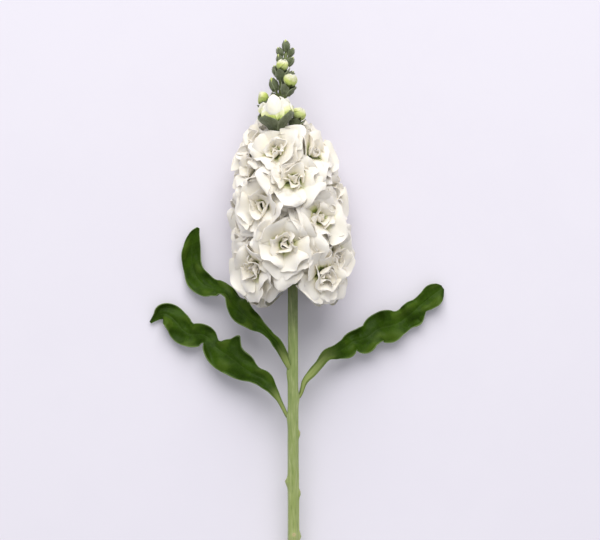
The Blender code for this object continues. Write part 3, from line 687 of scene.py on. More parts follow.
@dataclass(frozen=True)
class PetalCut:
    """The shape that all petals share: claw, rounded tip, folds and waves.

    A span is the least and the most that chance gives, or where a change starts and ends along the petal.
    """

    claw_width: float = 0.24
    tip_width: float = 0.66
    widening: Span = (0.10, 0.72)
    narrowing: Span = (0.70, 1.12)
    broader: Span = (0.88, 1.10)
    stretch: Span = (0.86, 1.08)
    tip_rounding: float = 0.27
    notch: float = 0.07
    notch_width: float = 0.3
    notch_rise: int = 8
    end_change: float = 20.0
    last_bend: float = 1.08
    tightest_bend: float = 3.0 * MM
    lean: float = 0.06
    tilt: float = 0.26
    fold: Span = (-0.50, 0.14)
    folding: Span = (0.05, 0.6)
    fold_rise: float = 1.6
    wave: float = 1.9 * MM
    wave_turns: Span = (2.4, 4.6)
    wave_lag: float = 1.4
    wave_rise: float = 1.6
    frill: float = 0.8 * MM
    frill_turns: Span = (6.5, 10.5)
    frill_rise: int = 4
    frill_middle: float = 0.3
    crease: float = 0.7 * MM
    crease_width: float = 0.17
    crease_growth: Span = (1.1, 0.6)
    lump: float = 1.5 * MM
    lump_length: float = 7 * MM
    noise_room: float = 50.0
    thickness: float = 0.30 * MM
    furthest: float = 1.25
    samples: int = 64

    def flat(self, whorl: Whorl, s: Array, t: Array, draw: random.Random) -> list[Array]:
        """Where the points of a petal lie on its long curve, before it waves.

        Args:
            whorl: The ring that the petal belongs to.
            s: Places from claw to tip, in a column.
            t: Places across, in a row.
            draw: The source of chance.

        Returns:
            Distances from the flower's axis, heights and angles, each in rows and columns.
        """
        change = self.end_change * whorl.ruffle
        end = whorl.end + draw.uniform(-change, change)
        stretch = draw.uniform(*self.stretch)
        places = np.linspace(0.0, self.furthest, self.samples)
        bent = np.minimum(places, self.last_bend) ** whorl.bend
        angles = np.radians(whorl.start + (end - whorl.start) * bent)
        step = whorl.length * (places[1] - places[0])
        r_line = whorl.root + np.concatenate(([0.0], np.cumsum(np.sin(angles[:-1])))) * step
        h_line = whorl.seat + np.concatenate(([0.0], np.cumsum(np.cos(angles[:-1])))) * step
        notch = draw.uniform(0.0, self.notch) * s**self.notch_rise * np.exp(-((t / self.notch_width) ** 2))
        place = (s - self.tip_rounding * s**3 * t**2 - notch) * stretch
        return [np.interp(place, places, line) for line in (r_line, h_line, angles)]

    def lift(self, whorl: Whorl, s: Array, t: Array, width: Array, draw: random.Random) -> Array:
        """How far waves, frills, folds and the crease lift each point.

        Args:
            whorl: The ring that the petal belongs to.
            s: Places from claw to tip, in a column.
            t: Places across, in a row.
            width: The petal's half width at each place from claw to tip.
            draw: The source of chance.

        Returns:
            Distances in rows and columns.
        """
        tilt = (self.lean + draw.uniform(-self.tilt, self.tilt)) * whorl.ruffle
        fold = draw.uniform(*self.fold) * whorl.ruffle
        first, second = draw.uniform(0, TURN), draw.uniform(0, TURN)
        swing = np.sin(draw.uniform(*self.wave_turns) * t + first + self.wave_lag * s)
        swing = self.wave * whorl.ruffle * s**self.wave_rise * swing
        outer = self.frill_middle + (1 - self.frill_middle) * t * t
        frill = self.frill * whorl.ruffle * s**self.frill_rise * outer
        frill = frill * np.sin(draw.uniform(*self.frill_turns) * t + second)
        growth = self.crease_growth[0] - self.crease_growth[1] * s
        crease = -self.crease * np.exp(-((t / self.crease_width) ** 2)) * s * growth
        folded = width * (tilt * t + fold * np.abs(t) ** self.fold_rise) * ease(*self.folding, s)
        return swing + frill + crease + folded

    def surface(self, whorl: Whorl, turn: float, draw: random.Random) -> Array:
        """The middle surface of one petal in its flower's own frame.

        Args:
            whorl: The ring that the petal belongs to.
            turn: Its azimuth round the flower, in radians.
            draw: The source of chance.

        Returns:
            Rows from claw to tip, columns across, and x, y, z.
        """
        s = np.linspace(0.0, 1.0, whorl.rows)[:, None]
        t = np.linspace(-1.0, 1.0, whorl.columns)[None, :]
        r, h, angle = self.flat(whorl, s, t, draw)
        outline = self.claw_width + (1 - self.claw_width) * ease(*self.widening, s)
        outline = outline * (1 - (1 - self.tip_width) * ease(*self.narrowing, s))
        width = whorl.half_width * draw.uniform(*self.broader) * outline
        lift = self.lift(whorl, s, t, width, draw)
        origin = Vector([draw.uniform(0, self.noise_room) for _ in range(3)])
        side = width * t
        for row, column in np.ndindex(lift.shape):
            spot = Vector((r[row, column], side[row, column], h[row, column])) / self.lump_length
            lift[row, column] += self.lump * whorl.ruffle * s[row, 0] * noise.noise(origin + spot)
        r = r - np.cos(angle) * lift
        h = h + np.sin(angle) * lift
        heading = turn + side * whorl.wrap / np.maximum(r, self.tightest_bend)
        side = side * (1 - whorl.wrap)
        cos, sin = np.cos(heading), np.sin(heading)
        return np.stack((r * cos - side * sin, r * sin + side * cos, h), 2)


@dataclass(frozen=True)
class Heart:
    """The small body in the middle of a flower: its size, where it starts, and what its finish reads."""

    radius: float
    height: float
    start: float
    tone: float
    roundness: float = 1.02
    rings: int = 8
    sides: int = 10

    def add(self, skin: Skin, seat: Seat) -> None:
        """Add the heart of one flower to a skin."""
        rings = []
        for step in range(self.rings):
            part = step / (self.rings - 1)
            radius = self.radius * seat.size * math.sqrt(self.roundness - part**2)
            middle = seat.place + seat.facing * (self.height * part + self.start) * seat.size
            rings.append(ring_round(middle, seat.facing, [radius] * self.sides))
        skin.tube(np.array(rings), np.full((self.rings, self.sides, 3), self.tone))


@dataclass(frozen=True)
class Flower:
    """An open flower or an opening bud: whorls of petals round a heart, held inside its cell."""

    node: str
    index: int
    slot: str
    cut: PetalCut = PetalCut()
    # the heart's dark green tone is partly its own colour and partly painted shade in the flower's middle
    small_heart: Heart = Heart(1.2 * MM, 3.4 * MM, -0.5 * MM, 0.14)
    ball: Heart = Heart(4.2 * MM, 9.8 * MM, 2.6 * MM, 0.74)
    whorl_turn: float = 0.45
    turn_change: float = 0.24
    stretch_limit: float = 1.3
    tip_start: float = 0.95
    furthest_wall: float = 28 * MM
    least_reach: float = 0.78
    head_reach: float = 1.07
    room_change: float = 2.5 * MM

    def fill(self, points: Array, along: Array, cell: Cell, room: float, share: float) -> Array:
        """Lengthen a petal that falls short of its cell's wall, then hold it inside.

        Args:
            points: The petal's points in rows.
            along: How far from the claw each point is, from 0 to 1.
            cell: The flower's cell.
            room: How far past the walls to its neighbours the petal may go.
            share: The part of the way to the wall that it fills.

        Returns:
            The points, moved.
        """
        away = points - cell.middle
        tip = away[along > self.tip_start].mean(axis=0)
        distance = np.linalg.norm(tip)
        limit = cell.limit((tip / distance)[None, :], room)[0]
        if distance < limit * share < self.furthest_wall:
            more = min(limit * share / distance, self.stretch_limit) - 1
            points = cell.middle + away * (1 + more * along)[:, None]
        return cell.hold(points, room, self.head_reach * share)

    def build(self, seats: Sequence[Seat], stations: Stations, finish: Material) -> Piece:
        """Make the flower.

        Args:
            seats: Every flower's seat.
            stations: The stalk's middle line.
            finish: The petals' material.

        Returns:
            The new piece.
        """
        seat = seats[self.index]
        half_open = seat.kind is SeatKind.HALF_OPEN
        draw = random.Random(SEED * 1000 + self.index)
        cell = Cell(self.index, seats, stations)
        axes = flower_axes(seat, draw.uniform(0, TURN))
        skin, start = Skin(), 0.0
        for whorl in WHORLS[seat.kind]:
            for number in range(whorl.count):
                turn = start + TURN * number / whorl.count + draw.uniform(-self.turn_change, self.turn_change)
                grid = self.cut.surface(whorl, turn, draw) * seat.size
                points = grid.reshape(-1, 3) @ axes[:3, :3].T + axes[:3, 3]
                places = blade_places(whorl.rows, whorl.columns, draw.random())
                room = whorl.room + draw.uniform(-self.room_change, self.room_change)
                share = draw.uniform(self.least_reach, 1.0)
                if half_open or seat.kind is SeatKind.OPENING:
                    points = cell.hold(points, 2 * whorl.room)
                else:
                    points = self.fill(points, places[:, :, 1].ravel(), cell, room, share)
                skin.blade(points.reshape(grid.shape), self.cut.thickness, places)
            start += math.pi / whorl.count + self.whorl_turn
        (self.ball if half_open else self.small_heart).add(skin, seat)
        return skin.piece(f"{self.node}_petals", finish, self.slot, self.node)


@dataclass(frozen=True)
class SepalShape:
    """The sepals of one kind of flower: how wide, long, blunt and hairy they are, and how they are turned.

    A swell is how much they widen, as a part of the calyx's radius, and where that starts and ends.
    """

    foot: float
    swells: tuple[Triple, ...]
    length: float | None = None
    blunt: float = 2.4
    hairs: int = 70
    turn: float | None = None

    def radius(self, s: Array) -> Array:
        """The sepals' distance from the axis along their length, as a part of the calyx's radius."""
        wide = np.full_like(s, self.foot)
        for gain, low, high in self.swells:
            wide = wide + gain * ease(low, high, s)
        return wide


OPEN_SEPALS = SepalShape(0.66, ((0.36, 0.0, 0.3), (0.20, 0.75, 1.0)), hairs=12)
SEPALS = {
    SeatKind.OPEN: OPEN_SEPALS,
    SeatKind.UNDERSIDE: OPEN_SEPALS,
    SeatKind.OPENING: SepalShape(0.62, ((0.50, 0.0, 0.35), (0.20, 0.5, 0.9)), 1.8),
    SeatKind.HALF_OPEN: SepalShape(0.62, ((0.30, 0.0, 0.30), (0.92, 0.22, 0.85)), 2.9, turn=0.92),
    SeatKind.CLOSED: SepalShape(0.66, ((0.36, 0.0, 0.4), (-0.62, 0.60, 1.04)), 1.08, 4.0),
}


@dataclass(frozen=True)
class Calyx:
    """Four sepals round the foot of a flower, or closed over a bud."""

    sepals: int = 4
    rows: int = 12
    columns: int = 9
    thickness: float = 0.42 * MM
    half_angle: float = 56.0
    tip_width: float = 0.04
    roundness: float = 0.62
    tip_drop: float = 0.05
    open_length: Span = (1.0, 1.12)
    uneven: Span = (0.94, 1.03)
    outer_lift: float = 0.22 * MM
    pouch: float = 0.10
    pouch_length: float = 0.16
    inner_pouch: float = 0.3
    fluting: float = 0.15 * MM
    flutes: int = 3
    flute_start: Span = (0.1, 0.5)
    hair_lean: float = 0.5
    hair_forward: Span = (0.1, 0.7)
    hair_across: float = 0.9

    def add(self, skin: Skin, seat: Seat, draw: random.Random) -> None:
        """Add the four sepals of one seat.

        Args:
            skin: Where the blades go.
            seat: The flower's seat.
            draw: The source of chance.
        """
        shape, axis = SEPALS[seat.kind], np.array(seat.facing)
        chance = draw.uniform(*self.open_length)
        reach = seat.calyx_length * (chance if shape.length is None else shape.length)
        s = np.linspace(0.0, 1.0, self.rows)[:, None]
        t = np.linspace(-1.0, 1.0, self.columns)[None, :]
        spin = draw.uniform(0, TURN) if shape.turn is None else shape.turn
        first, second = ring_round(Vector(), seat.facing, [1.0] * 4)[:2]
        narrow = (1 - s**shape.blunt) ** self.roundness * (1 - self.tip_width) + self.tip_width
        for number in range(self.sepals):
            outer = number % 2 == 0
            angle = spin + number * TURN / self.sepals + math.radians(self.half_angle) * narrow * t
            radius = seat.calyx_radius * shape.radius(s) + (self.outer_lift if outer else 0.0)
            pouch = self.pouch * seat.calyx_radius * np.exp(-((s / self.pouch_length) ** 2))
            radius = radius + pouch * (1.0 if outer else self.inner_pouch)
            flutes = self.fluting * np.cos(self.flutes * math.pi * t)
            radius = radius + flutes * ease(*self.flute_start, s) * (1 - s)
            high = reach * draw.uniform(*self.uneven) * (s - self.tip_drop * s * t * t)
            outward = np.cos(angle)[:, :, None] * first + np.sin(angle)[:, :, None] * second
            grid = np.array(seat.base()) + axis * high[:, :, None] + outward * radius[:, :, None]
            places = blade_places(self.rows, self.columns, draw.random())
            skin.blade(grid[:, ::-1], self.thickness, places[:, ::-1])
            for _ in range(shape.hairs):
                self.add_hair(skin, seat, grid, draw)

    def add_hair(self, skin: Skin, seat: Seat, grid: Array, draw: random.Random) -> None:
        """Add one short hair of the felt that covers a sepal.

        Args:
            skin: Where the hair goes.
            seat: The flower's seat.
            grid: The sepal's middle surface.
            draw: The source of chance.
        """
        row, column = draw.randrange(1, self.rows - 1), draw.randrange(self.columns - 1)
        root = grid[row, column] + (grid[row, column + 1] - grid[row, column]) * draw.random()
        root = root + (grid[row + 1, column] - grid[row, column]) * draw.random()
        axis = np.array(seat.facing)
        away = root - np.array(seat.place)
        away = away - axis * (away @ axis)
        lean = np.array([draw.uniform(-self.hair_lean, self.hair_lean) for _ in range(3)])
        way = away / max(np.linalg.norm(away), TINY) + axis * draw.uniform(*self.hair_forward) + lean
        skin.spike(root, way / np.linalg.norm(way), (self.hair_across, row / self.rows, 1.0))


@dataclass(frozen=True)
class BudHeart:
    """The folded petals inside a closed bud, which show at its tip."""

    rings: int = 9
    sides: int = 16
    start: float = 0.05
    reach: float = 1.10
    width: float = 0.80
    bulge: Span = (0.22, 0.74)
    fold: float = 0.10
    twist: float = 2.2
    fullness: float = 0.8
    tones: Span = (0.25, 0.35)
    across_tone: float = 0.3
    own_tone: float = 0.5

    def add(self, skin: Skin, seat: Seat) -> None:
        """Add the heart of one closed bud.

        Args:
            skin: Where the body goes.
            seat: The bud's seat.
        """
        rings, places = [], []
        for step in range(self.rings):
            part = step / (self.rings - 1)
            bulge = math.sin(math.pi * (self.bulge[0] + self.bulge[1] * part)) ** self.fullness
            radii = []
            for side in range(self.sides):
                turn = TURN * side / self.sides
                folds = 1 - self.fold * part * abs(math.sin(2 * turn + self.twist * part))
                radii.append(seat.calyx_radius * self.width * bulge * folds)
            middle = seat.base() + seat.facing * seat.calyx_length * (self.start + self.reach * part)
            rings.append(ring_round(middle, seat.facing, radii))
            tone = self.tones[0] + self.tones[1] * part
            places.append([(self.across_tone, tone, self.own_tone)] * self.sides)
        skin.tube(np.array(rings), np.array(places))


@dataclass(frozen=True)
class Pedicel:
    """The short stalk that carries one flower, flared into the stalk and into the calyx."""

    radius: float = 0.85 * MM
    scale: Span = (0.7, 1.15)
    foot: float = 1.45
    foot_end: float = 0.25
    top_start: float = 0.72
    top_width: float = 0.72
    top_curve: float = 1.5
    sunk: float = 0.3
    bow: float = 1.2 * MM
    bow_place: float = 0.55
    into_calyx: float = 0.16
    ribs: int = 5
    rib_depth: float = 0.07
    tone: float = 0.15
    rings: int = 9
    sides: int = 12

    def add(self, skin: Skin, skeleton: Skeleton, seat: Seat) -> None:
        """Add the pedicel of one seat.

        Args:
            skin: Where the tube goes.
            skeleton: The stalk.
            seat: The flower's seat.
        """
        middle, stalk_radius = skeleton.at(seat.foot_y)
        base = seat.base()
        foot = middle + skeleton.outward(seat.foot_y, seat.azimuth) * stalk_radius * self.sunk
        scale = float(np.clip(seat.calyx_radius / skeleton.calyx_radius, *self.scale))
        heading = (base - foot).normalized()
        bend = foot.lerp(base, self.bow_place) + (heading - seat.facing) * self.bow
        top = base + seat.facing * seat.calyx_length * self.into_calyx
        widest = seat.calyx_radius * self.top_width / (self.radius * scale) - 1
        rings, places = [], []
        before = foot - heading * MM
        for step in range(self.rings):
            part = step / (self.rings - 1)
            point = foot.lerp(bend, part).lerp(bend.lerp(top, part), part)
            flare = 1 + (self.foot - 1) * (1 - ease(0.0, self.foot_end, part))
            flare += widest * ease(self.top_start, 1.0, part) ** self.top_curve
            ribs = [math.cos(self.ribs * TURN * side / self.sides) for side in range(self.sides)]
            radii = [self.radius * scale * flare * (1 + self.rib_depth * rib) for rib in ribs]
            rings.append(ring_round(point, (point - before).normalized(), radii))
            places.append([(side / self.sides, part, self.tone) for side in range(self.sides)])
            before = point
        skin.tube(np.array(rings), np.array(places))


@dataclass(frozen=True)
class Nub:
    """A swelling on the stalk: a leaf scar, or the foot of a leaf."""

    y: float
    azimuth: float
    spread: float
    height: float
    scar: float


NUBS = (
    Nub(-46 * MM, 74, 1.4 * MM, 1.4 * MM, 1.0),
    Nub(-75 * MM, -84, 1.9 * MM, 1.9 * MM, 1.0),
    Nub(-82 * MM, 80, 1.5 * MM, 1.3 * MM, 1.0),
    Nub(-108 * MM, 4, 2.2 * MM, 1.1 * MM, 1.0),
    Nub(-108 * MM, 92, 1.5 * MM, 1.4 * MM, 1.0),
    Nub(-36 * MM, -88, 2.6 * MM, 0.8 * MM, 0.2),
    Nub(-24 * MM, 86, 2.4 * MM, 0.8 * MM, 0.2),
    Nub(-9 * MM, -80, 3.0 * MM, 0.9 * MM, 0.2),
)


@dataclass(frozen=True)
class StalkBody:
    """The ribbed stalk with its scars, its cut end, and the pedicels that rise from it."""

    skeleton: Skeleton
    rings: int = 190
    sides: int = 48
    ribs: int = 6
    rib_depth: float = 0.045
    rib_wander: Span = (2.2, 9)
    upper_ribs: float = 1.3
    upper_span: Span = (-10 * MM, 60 * MM)
    fine_ribs: int = 17
    fine_depth: float = 0.012
    fine_wander: Span = (1.7, 21)
    bump: float = 0.10 * MM
    bump_length: float = 9 * MM
    bump_turns: float = 1.6
    below: float = 0.35
    above: float = 1.3
    scar_shift: float = 0.35
    scar_size: float = 0.30
    pedicel: Pedicel = Pedicel()

    def radius(self, y: float, turn: float, plain: float) -> tuple[float, float]:
        """The stalk's surface at one point.

        Args:
            y: The place along the stalk.
            turn: The azimuth, in radians.
            plain: The radius there without ribs.

        Returns:
            The distance from the middle, and how much of a scar is there.
        """
        deeper = 1 + self.upper_ribs * float(ease(*self.upper_span, y))
        wander = self.rib_wander[0] * math.sin(y * self.rib_wander[1])
        ribs = math.cos(self.ribs * turn + wander) * self.rib_depth * deeper
        wander = self.fine_wander[0] * math.sin(y * self.fine_wander[1] + 1)
        ribs += math.cos(self.fine_ribs * turn + wander) * self.fine_depth
        spot = [part * self.bump_turns for part in (math.cos(turn), math.sin(turn))]
        value = plain * (1 + ribs) + self.bump * noise.noise(Vector((*spot, y / self.bump_length)))
        scar = 0.0
        for nub in NUBS:
            off = (turn - math.radians(nub.azimuth) + math.pi) % TURN - math.pi
            across, along = off * plain / nub.spread, (y - nub.y) / nub.spread
            fall = self.below if along < 0 else self.above
            value += nub.height * math.exp(-(across**2) - along**2 * fall)
            from_scar = across**2 + (along - self.scar_shift) ** 2
            scar = max(scar, nub.scar * math.exp(-(from_scar / self.scar_size)))
        return value, scar

    def build(self, seats: Sequence[Seat], finish: Material) -> Piece:
        """Make the stalk and its pedicels.

        Args:
            seats: Every flower's seat.
            finish: The stalk's material.

        Returns:
            The new piece.
        """
        skin = Skin()
        start, top = self.skeleton.cut_end_y, self.skeleton.head_stations[-1][0]
        turns = [TURN * side / self.sides for side in range(self.sides)]
        rings, places = [], []
        for number in range(self.rings):
            part = number / (self.rings - 1)
            y = start + (top - start) * part
            middle, plain = self.skeleton.at(y)
            values = [self.radius(y, turn, plain) for turn in turns]
            ring = ring_round(middle, self.skeleton.direction(y), [value[0] for value in values])
            ring[:, 2] = np.maximum(ring[:, 2], 0.0)
            rings.append(ring)
            places.append([(turn / TURN, part, scar) for turn, (_, scar) in zip(turns, values)])
        skin.tube(np.array(rings), np.array(places))
        for seat in seats:
            self.pedicel.add(skin, self.skeleton, seat)
        return skin.piece("stalk", finish, "stalk", "stem")


@dataclass(frozen=True)
class Rib:
    """One station of a leaf, in millimetres: its midrib, its half widths, and its roll in degrees."""

    x: float
    y: float
    z: float
    left: float
    right: float
    roll: float

    def station(self, number: int) -> tuple[float, ...]:
        """The rib as a row of metres and degrees, after its number."""
        lengths = (self.x, self.y, self.z, self.left, self.right)
        return (number, *(value * MM for value in lengths), self.roll)


LEFT_UPPER_RIBS = (
    Rib(-6.0, -3.2, 24.5, 2.0, 2.0, 10),
    Rib(-11.4, 7.6, 25.5, 3.4, 3.6, 20),
    Rib(-15.8, 12.8, 25.0, 2.8, 3.0, 36),
    Rib(-20.2, 17.0, 24.0, 3.4, 3.2, 14),
    Rib(-25.4, 20.6, 22.5, 5.4, 5.0, -4),
    Rib(-31.4, 25.0, 20.5, 6.8, 6.4, -14),
    Rib(-36.6, 30.4, 18.0, 6.6, 6.6, -30),
    Rib(-40.6, 36.0, 15.0, 5.6, 7.4, -48),
    Rib(-44.6, 39.4, 12.0, 5.2, 5.0, -50),
    Rib(-49.4, 40.4, 9.5, 5.8, 5.8, -32),
    Rib(-54.8, 42.0, 7.5, 6.8, 6.8, -12),
    Rib(-59.8, 46.2, 6.0, 7.2, 7.0, 4),
    Rib(-62.8, 52.2, 5.0, 6.3, 6.2, 10),
    Rib(-63.9, 59.2, 5.0, 5.8, 5.8, 8),
    Rib(-63.4, 67.0, 6.0, 5.0, 5.0, 4),
    Rib(-61.9, 73.2, 7.5, 3.3, 3.3, 0),
    Rib(-59.6, 77.4, 9.0, 0.8, 0.8, 0),
)
LEFT_LOWER_RIBS = (
    Rib(-6.6, -34.6, 18.6, 1.0, 1.0, 0),
    Rib(-11.2, -25.4, 19.5, 1.6, 1.6, 0),
    Rib(-15.4, -18.8, 19.0, 4.0, 3.6, -26),
    Rib(-20.0, -14.0, 18.0, 4.8, 5.0, -14),
    Rib(-25.8, -11.0, 17.0, 5.0, 5.4, 0),
    Rib(-31.8, -7.4, 15.5, 8.0, 8.6, 6),
    Rib(-38.2, -2.4, 14.0, 9.8, 9.2, 8),
    Rib(-41.8, 0.0, 13.0, 10.2, 14.6, 10),
    Rib(-45.6, 2.6, 11.5, 10.0, 9.4, 0),
    Rib(-50.0, 6.4, 9.0, 8.0, 4.2, -14),
    Rib(-53.8, 11.2, 7.5, 4.4, 5.6, -6),
    Rib(-58.4, 13.0, 8.0, 7.0, 6.8, 6),
    Rib(-63.8, 12.8, 7.0, 7.6, 6.8, 0),
    Rib(-68.6, 15.2, 6.0, 8.4, 7.4, -4),
    Rib(-72.6, 19.6, 5.5, 7.4, 7.8, -8),
    Rib(-76.6, 23.6, 5.0, 6.2, 7.6, 0),
    Rib(-81.0, 25.4, 4.2, 4.4, 6.2, 6),
    Rib(-85.0, 23.4, 3.0, 2.2, 2.8, 6),
    Rib(-89.0, 20.0, 2.0, 0.7, 0.7, 0),
)
RIGHT_RIBS = (
    Rib(2.2, -22.6, 20.0, 1.1, 1.1, 0),
    Rib(4.6, -15.2, 20.5, 1.7, 1.7, 10),
    Rib(9.0, -9.8, 19.5, 2.6, 2.8, 20),
    Rib(13.4, -4.4, 18.0, 2.4, 3.0, 14),
    Rib(18.4, 0.0, 16.5, 4.4, 2.6, 0),
    Rib(24.2, 2.8, 14.5, 4.4, 4.8, -8),
    Rib(29.4, 5.2, 12.5, 5.8, 6.6, -14),
    Rib(33.8, 8.6, 9.5, 6.0, 5.6, 8),
    Rib(39.2, 9.8, 10.0, 7.8, 8.6, -10),
    Rib(44.0, 12.2, 8.0, 7.4, 7.4, 10),
    Rib(49.0, 16.0, 6.5, 9.4, 8.4, 8),
    Rib(55.4, 17.8, 8.5, 10.4, 10.0, -10),
    Rib(61.4, 19.8, 6.0, 7.6, 7.6, 12),
    Rib(65.6, 22.6, 5.0, 6.6, 7.0, 4),
    Rib(70.2, 26.2, 7.5, 7.6, 8.4, -12),
    Rib(74.4, 30.2, 5.0, 5.4, 5.2, 10),
    Rib(78.4, 33.4, 5.2, 6.0, 6.2, -4),
    Rib(82.6, 36.8, 5.0, 6.8, 6.8, 0),
    Rib(86.2, 39.6, 4.2, 4.8, 4.6, 0),
    Rib(88.4, 41.2, 3.4, 1.6, 1.6, 0),
)


@dataclass(frozen=True)
class Leaf:
    """A leaf on its ribs: a channelled blade with a raised midrib, side veins and waved edges."""

    name: str
    ribs: tuple[Rib, ...]
    root: Rib
    phase: float
    rows_per_rib: int = 9
    columns: int = 33
    aim: float = 0.05
    wave: float = 0.7 * MM
    wave_length: float = 16 * MM
    wave_lag: float = 2.4
    channel: float = 0.8 * MM
    soft_channel: float = 0.04
    channel_level: float = 0.5
    full_width: float = 6 * MM
    frill: float = 0.12 * MM
    frill_length: float = 6.5 * MM
    frill_lag: float = 1.3
    frill_rise: int = 5
    edge_thickness: float = 0.45 * MM
    rib_thickness: float = 1.1 * MM
    rib_thinning: float = 0.7
    petiole_thickness: float = 2.0 * MM
    petiole_end: Span = (0.06, 0.22)
    midrib: float = 0.38 * MM
    midrib_width: float = 0.10
    vein_spacing: float = 5.2 * MM
    vein_slant: float = 0.9
    vein_wander: float = 0.5
    wander_stretch: float = 0.6
    vein_height: float = 0.05 * MM
    vein_width: float = 0.10
    vein_end: float = 0.75
    fold: float = 3.4 * MM
    fold_length: float = 10 * MM
    fold_across: float = 0.9
    fold_start: Span = (0.05, 0.7)
    curl: float = 0.9 * MM
    curl_start: float = 0.82
    curl_lag: float = 1.2
    table_gap: float = 0.1 * MM
    stalk_share: float = 0.14

    def relief(self, t: Array, width: Array, run: float) -> tuple[Array, Array]:
        """How far the blade stands off its flat cross line.

        Args:
            t: Places across, from -1 to 1.
            width: The half width at each of them.
            run: How far along the leaf the line is.

        Returns:
            The lift at each place, and what the finish reads as its height, to paint a highlight on the
            raised folds.
        """
        out = np.abs(t)
        full = np.minimum(width / self.full_width, 1.0)
        swing = TURN * run / self.wave_length + self.phase + np.where(t > 0, self.wave_lag, 0.0)
        wave = self.wave * t * t * np.sin(swing)
        quick = TURN * run / self.frill_length + self.phase * 3 + np.where(t > 0, self.frill_lag, 0.0)
        frill = self.frill * out**self.frill_rise * np.sin(quick)
        channel = self.channel * (np.sqrt(t * t + self.soft_channel) - self.channel_level)
        spots = [(run / self.fold_length, self.fold_across * side, 5 * self.phase) for side in t]
        folds = np.array([noise.noise(Vector(spot)) for spot in spots])
        folds = self.fold * folds * ease(*self.fold_start, out)
        curl = self.curl * ease(self.curl_start, 1.0, out) * (0.5 + 0.5 * np.sin(swing + self.curl_lag))
        wander = noise.noise(Vector((run / self.fold_length * self.wander_stretch, self.phase, 2.0)))
        lane = (run - out * width * self.vein_slant) / self.vein_spacing + self.vein_wander * wander
        from_vein = np.abs(lane - np.round(lane))
        rounded = np.exp(-((from_vein / self.vein_width) ** 2))
        vein = self.vein_height * rounded * ease(1.0, self.vein_end, out)
        puff = self.vein_height * np.sin(math.pi * from_vein) * out * (1 - out) * 4
        rib = -self.midrib * np.exp(-((t / self.midrib_width) ** 2))
        lift = (wave + frill + channel + puff + folds + curl) * full + (rib - vein) * full
        return lift, 0.5 + (folds + wave + curl) * full / (2 * self.fold)

    def thickness(self, t: Array, part: float) -> Array:
        """The blade's thickness at places across, a part of the way along the leaf."""
        spine = np.exp(-((t / self.midrib_width) ** 2)) * (1 - self.rib_thinning * part)
        petiole = (1 - ease(*self.petiole_end, part)) * np.sqrt(1 - t * t)
        blade = self.edge_thickness + (self.rib_thickness - self.edge_thickness) * spine
        return np.maximum(blade, self.petiole_thickness * petiole)

    def build(self, finish: Material) -> Piece:
        """Make the leaf.

        Args:
            finish: The leaf's material.

        Returns:
            The new piece.
        """
        ribs = [rib.station(number) for number, rib in enumerate((self.root, *self.ribs))]
        rows = (len(ribs) - 1) * self.rows_per_rib + 1
        t = np.linspace(-1.0, 1.0, self.columns)
        grid, thickness, places = [], [], []
        previous = Vector(ribs[0][1:4])
        travelled = -(Vector(ribs[1][1:4]) - previous).length
        for row in range(rows):
            place, part = row / self.rows_per_rib, row / (rows - 1)
            *middle, left, right, roll = blend(ribs, place)
            middle = Vector(middle)
            ahead, behind = (Vector(blend(ribs, place + step)[:3]) for step in (self.aim, -self.aim))
            along = (ahead - behind).normalized()
            travelled += (middle - previous).length
            previous = middle
            flat = Vector((along.y, -along.x, 0)).normalized()
            up = flat.cross(along).normalized()
            turn = math.radians(roll)
            across = np.array(flat * math.cos(turn) + up * math.sin(turn))
            over = np.array(up * math.cos(turn) - flat * math.sin(turn))
            width = np.where(t < 0, left, right)
            lift, height = self.relief(t, width, travelled)
            points = np.array(middle) + across * (width * t)[:, None] + over * lift[:, None]
            thick = self.thickness(t, part)
            points[:, 2] = np.maximum(points[:, 2], thick / 2 + self.table_gap)
            grid.append(points)
            thickness.append(thick)
            places.append(np.stack((t, np.full_like(t, part / self.stalk_share), height), 1))
        skin = Skin()
        skin.blade(np.array(grid), np.array(thickness), np.array(places))
        return skin.piece(self.name, finish, "leaf", self.name)


LEAVES = (
    Leaf("leaf_left_upper", LEFT_UPPER_RIBS, Rib(-3.6, -8.2, 22.6, 1.6, 1.6, 6), 0.4, stalk_share=0.10),
    Leaf("leaf_left_lower", LEFT_LOWER_RIBS, Rib(-4.2, -37.6, 17.6, 1.2, 1.2, 0), 2.0),
    Leaf("leaf_right", RIGHT_RIBS, Rib(-0.4, -25.4, 19.5, 1.3, 1.3, 0), 1.0, stalk_share=0.26),
)


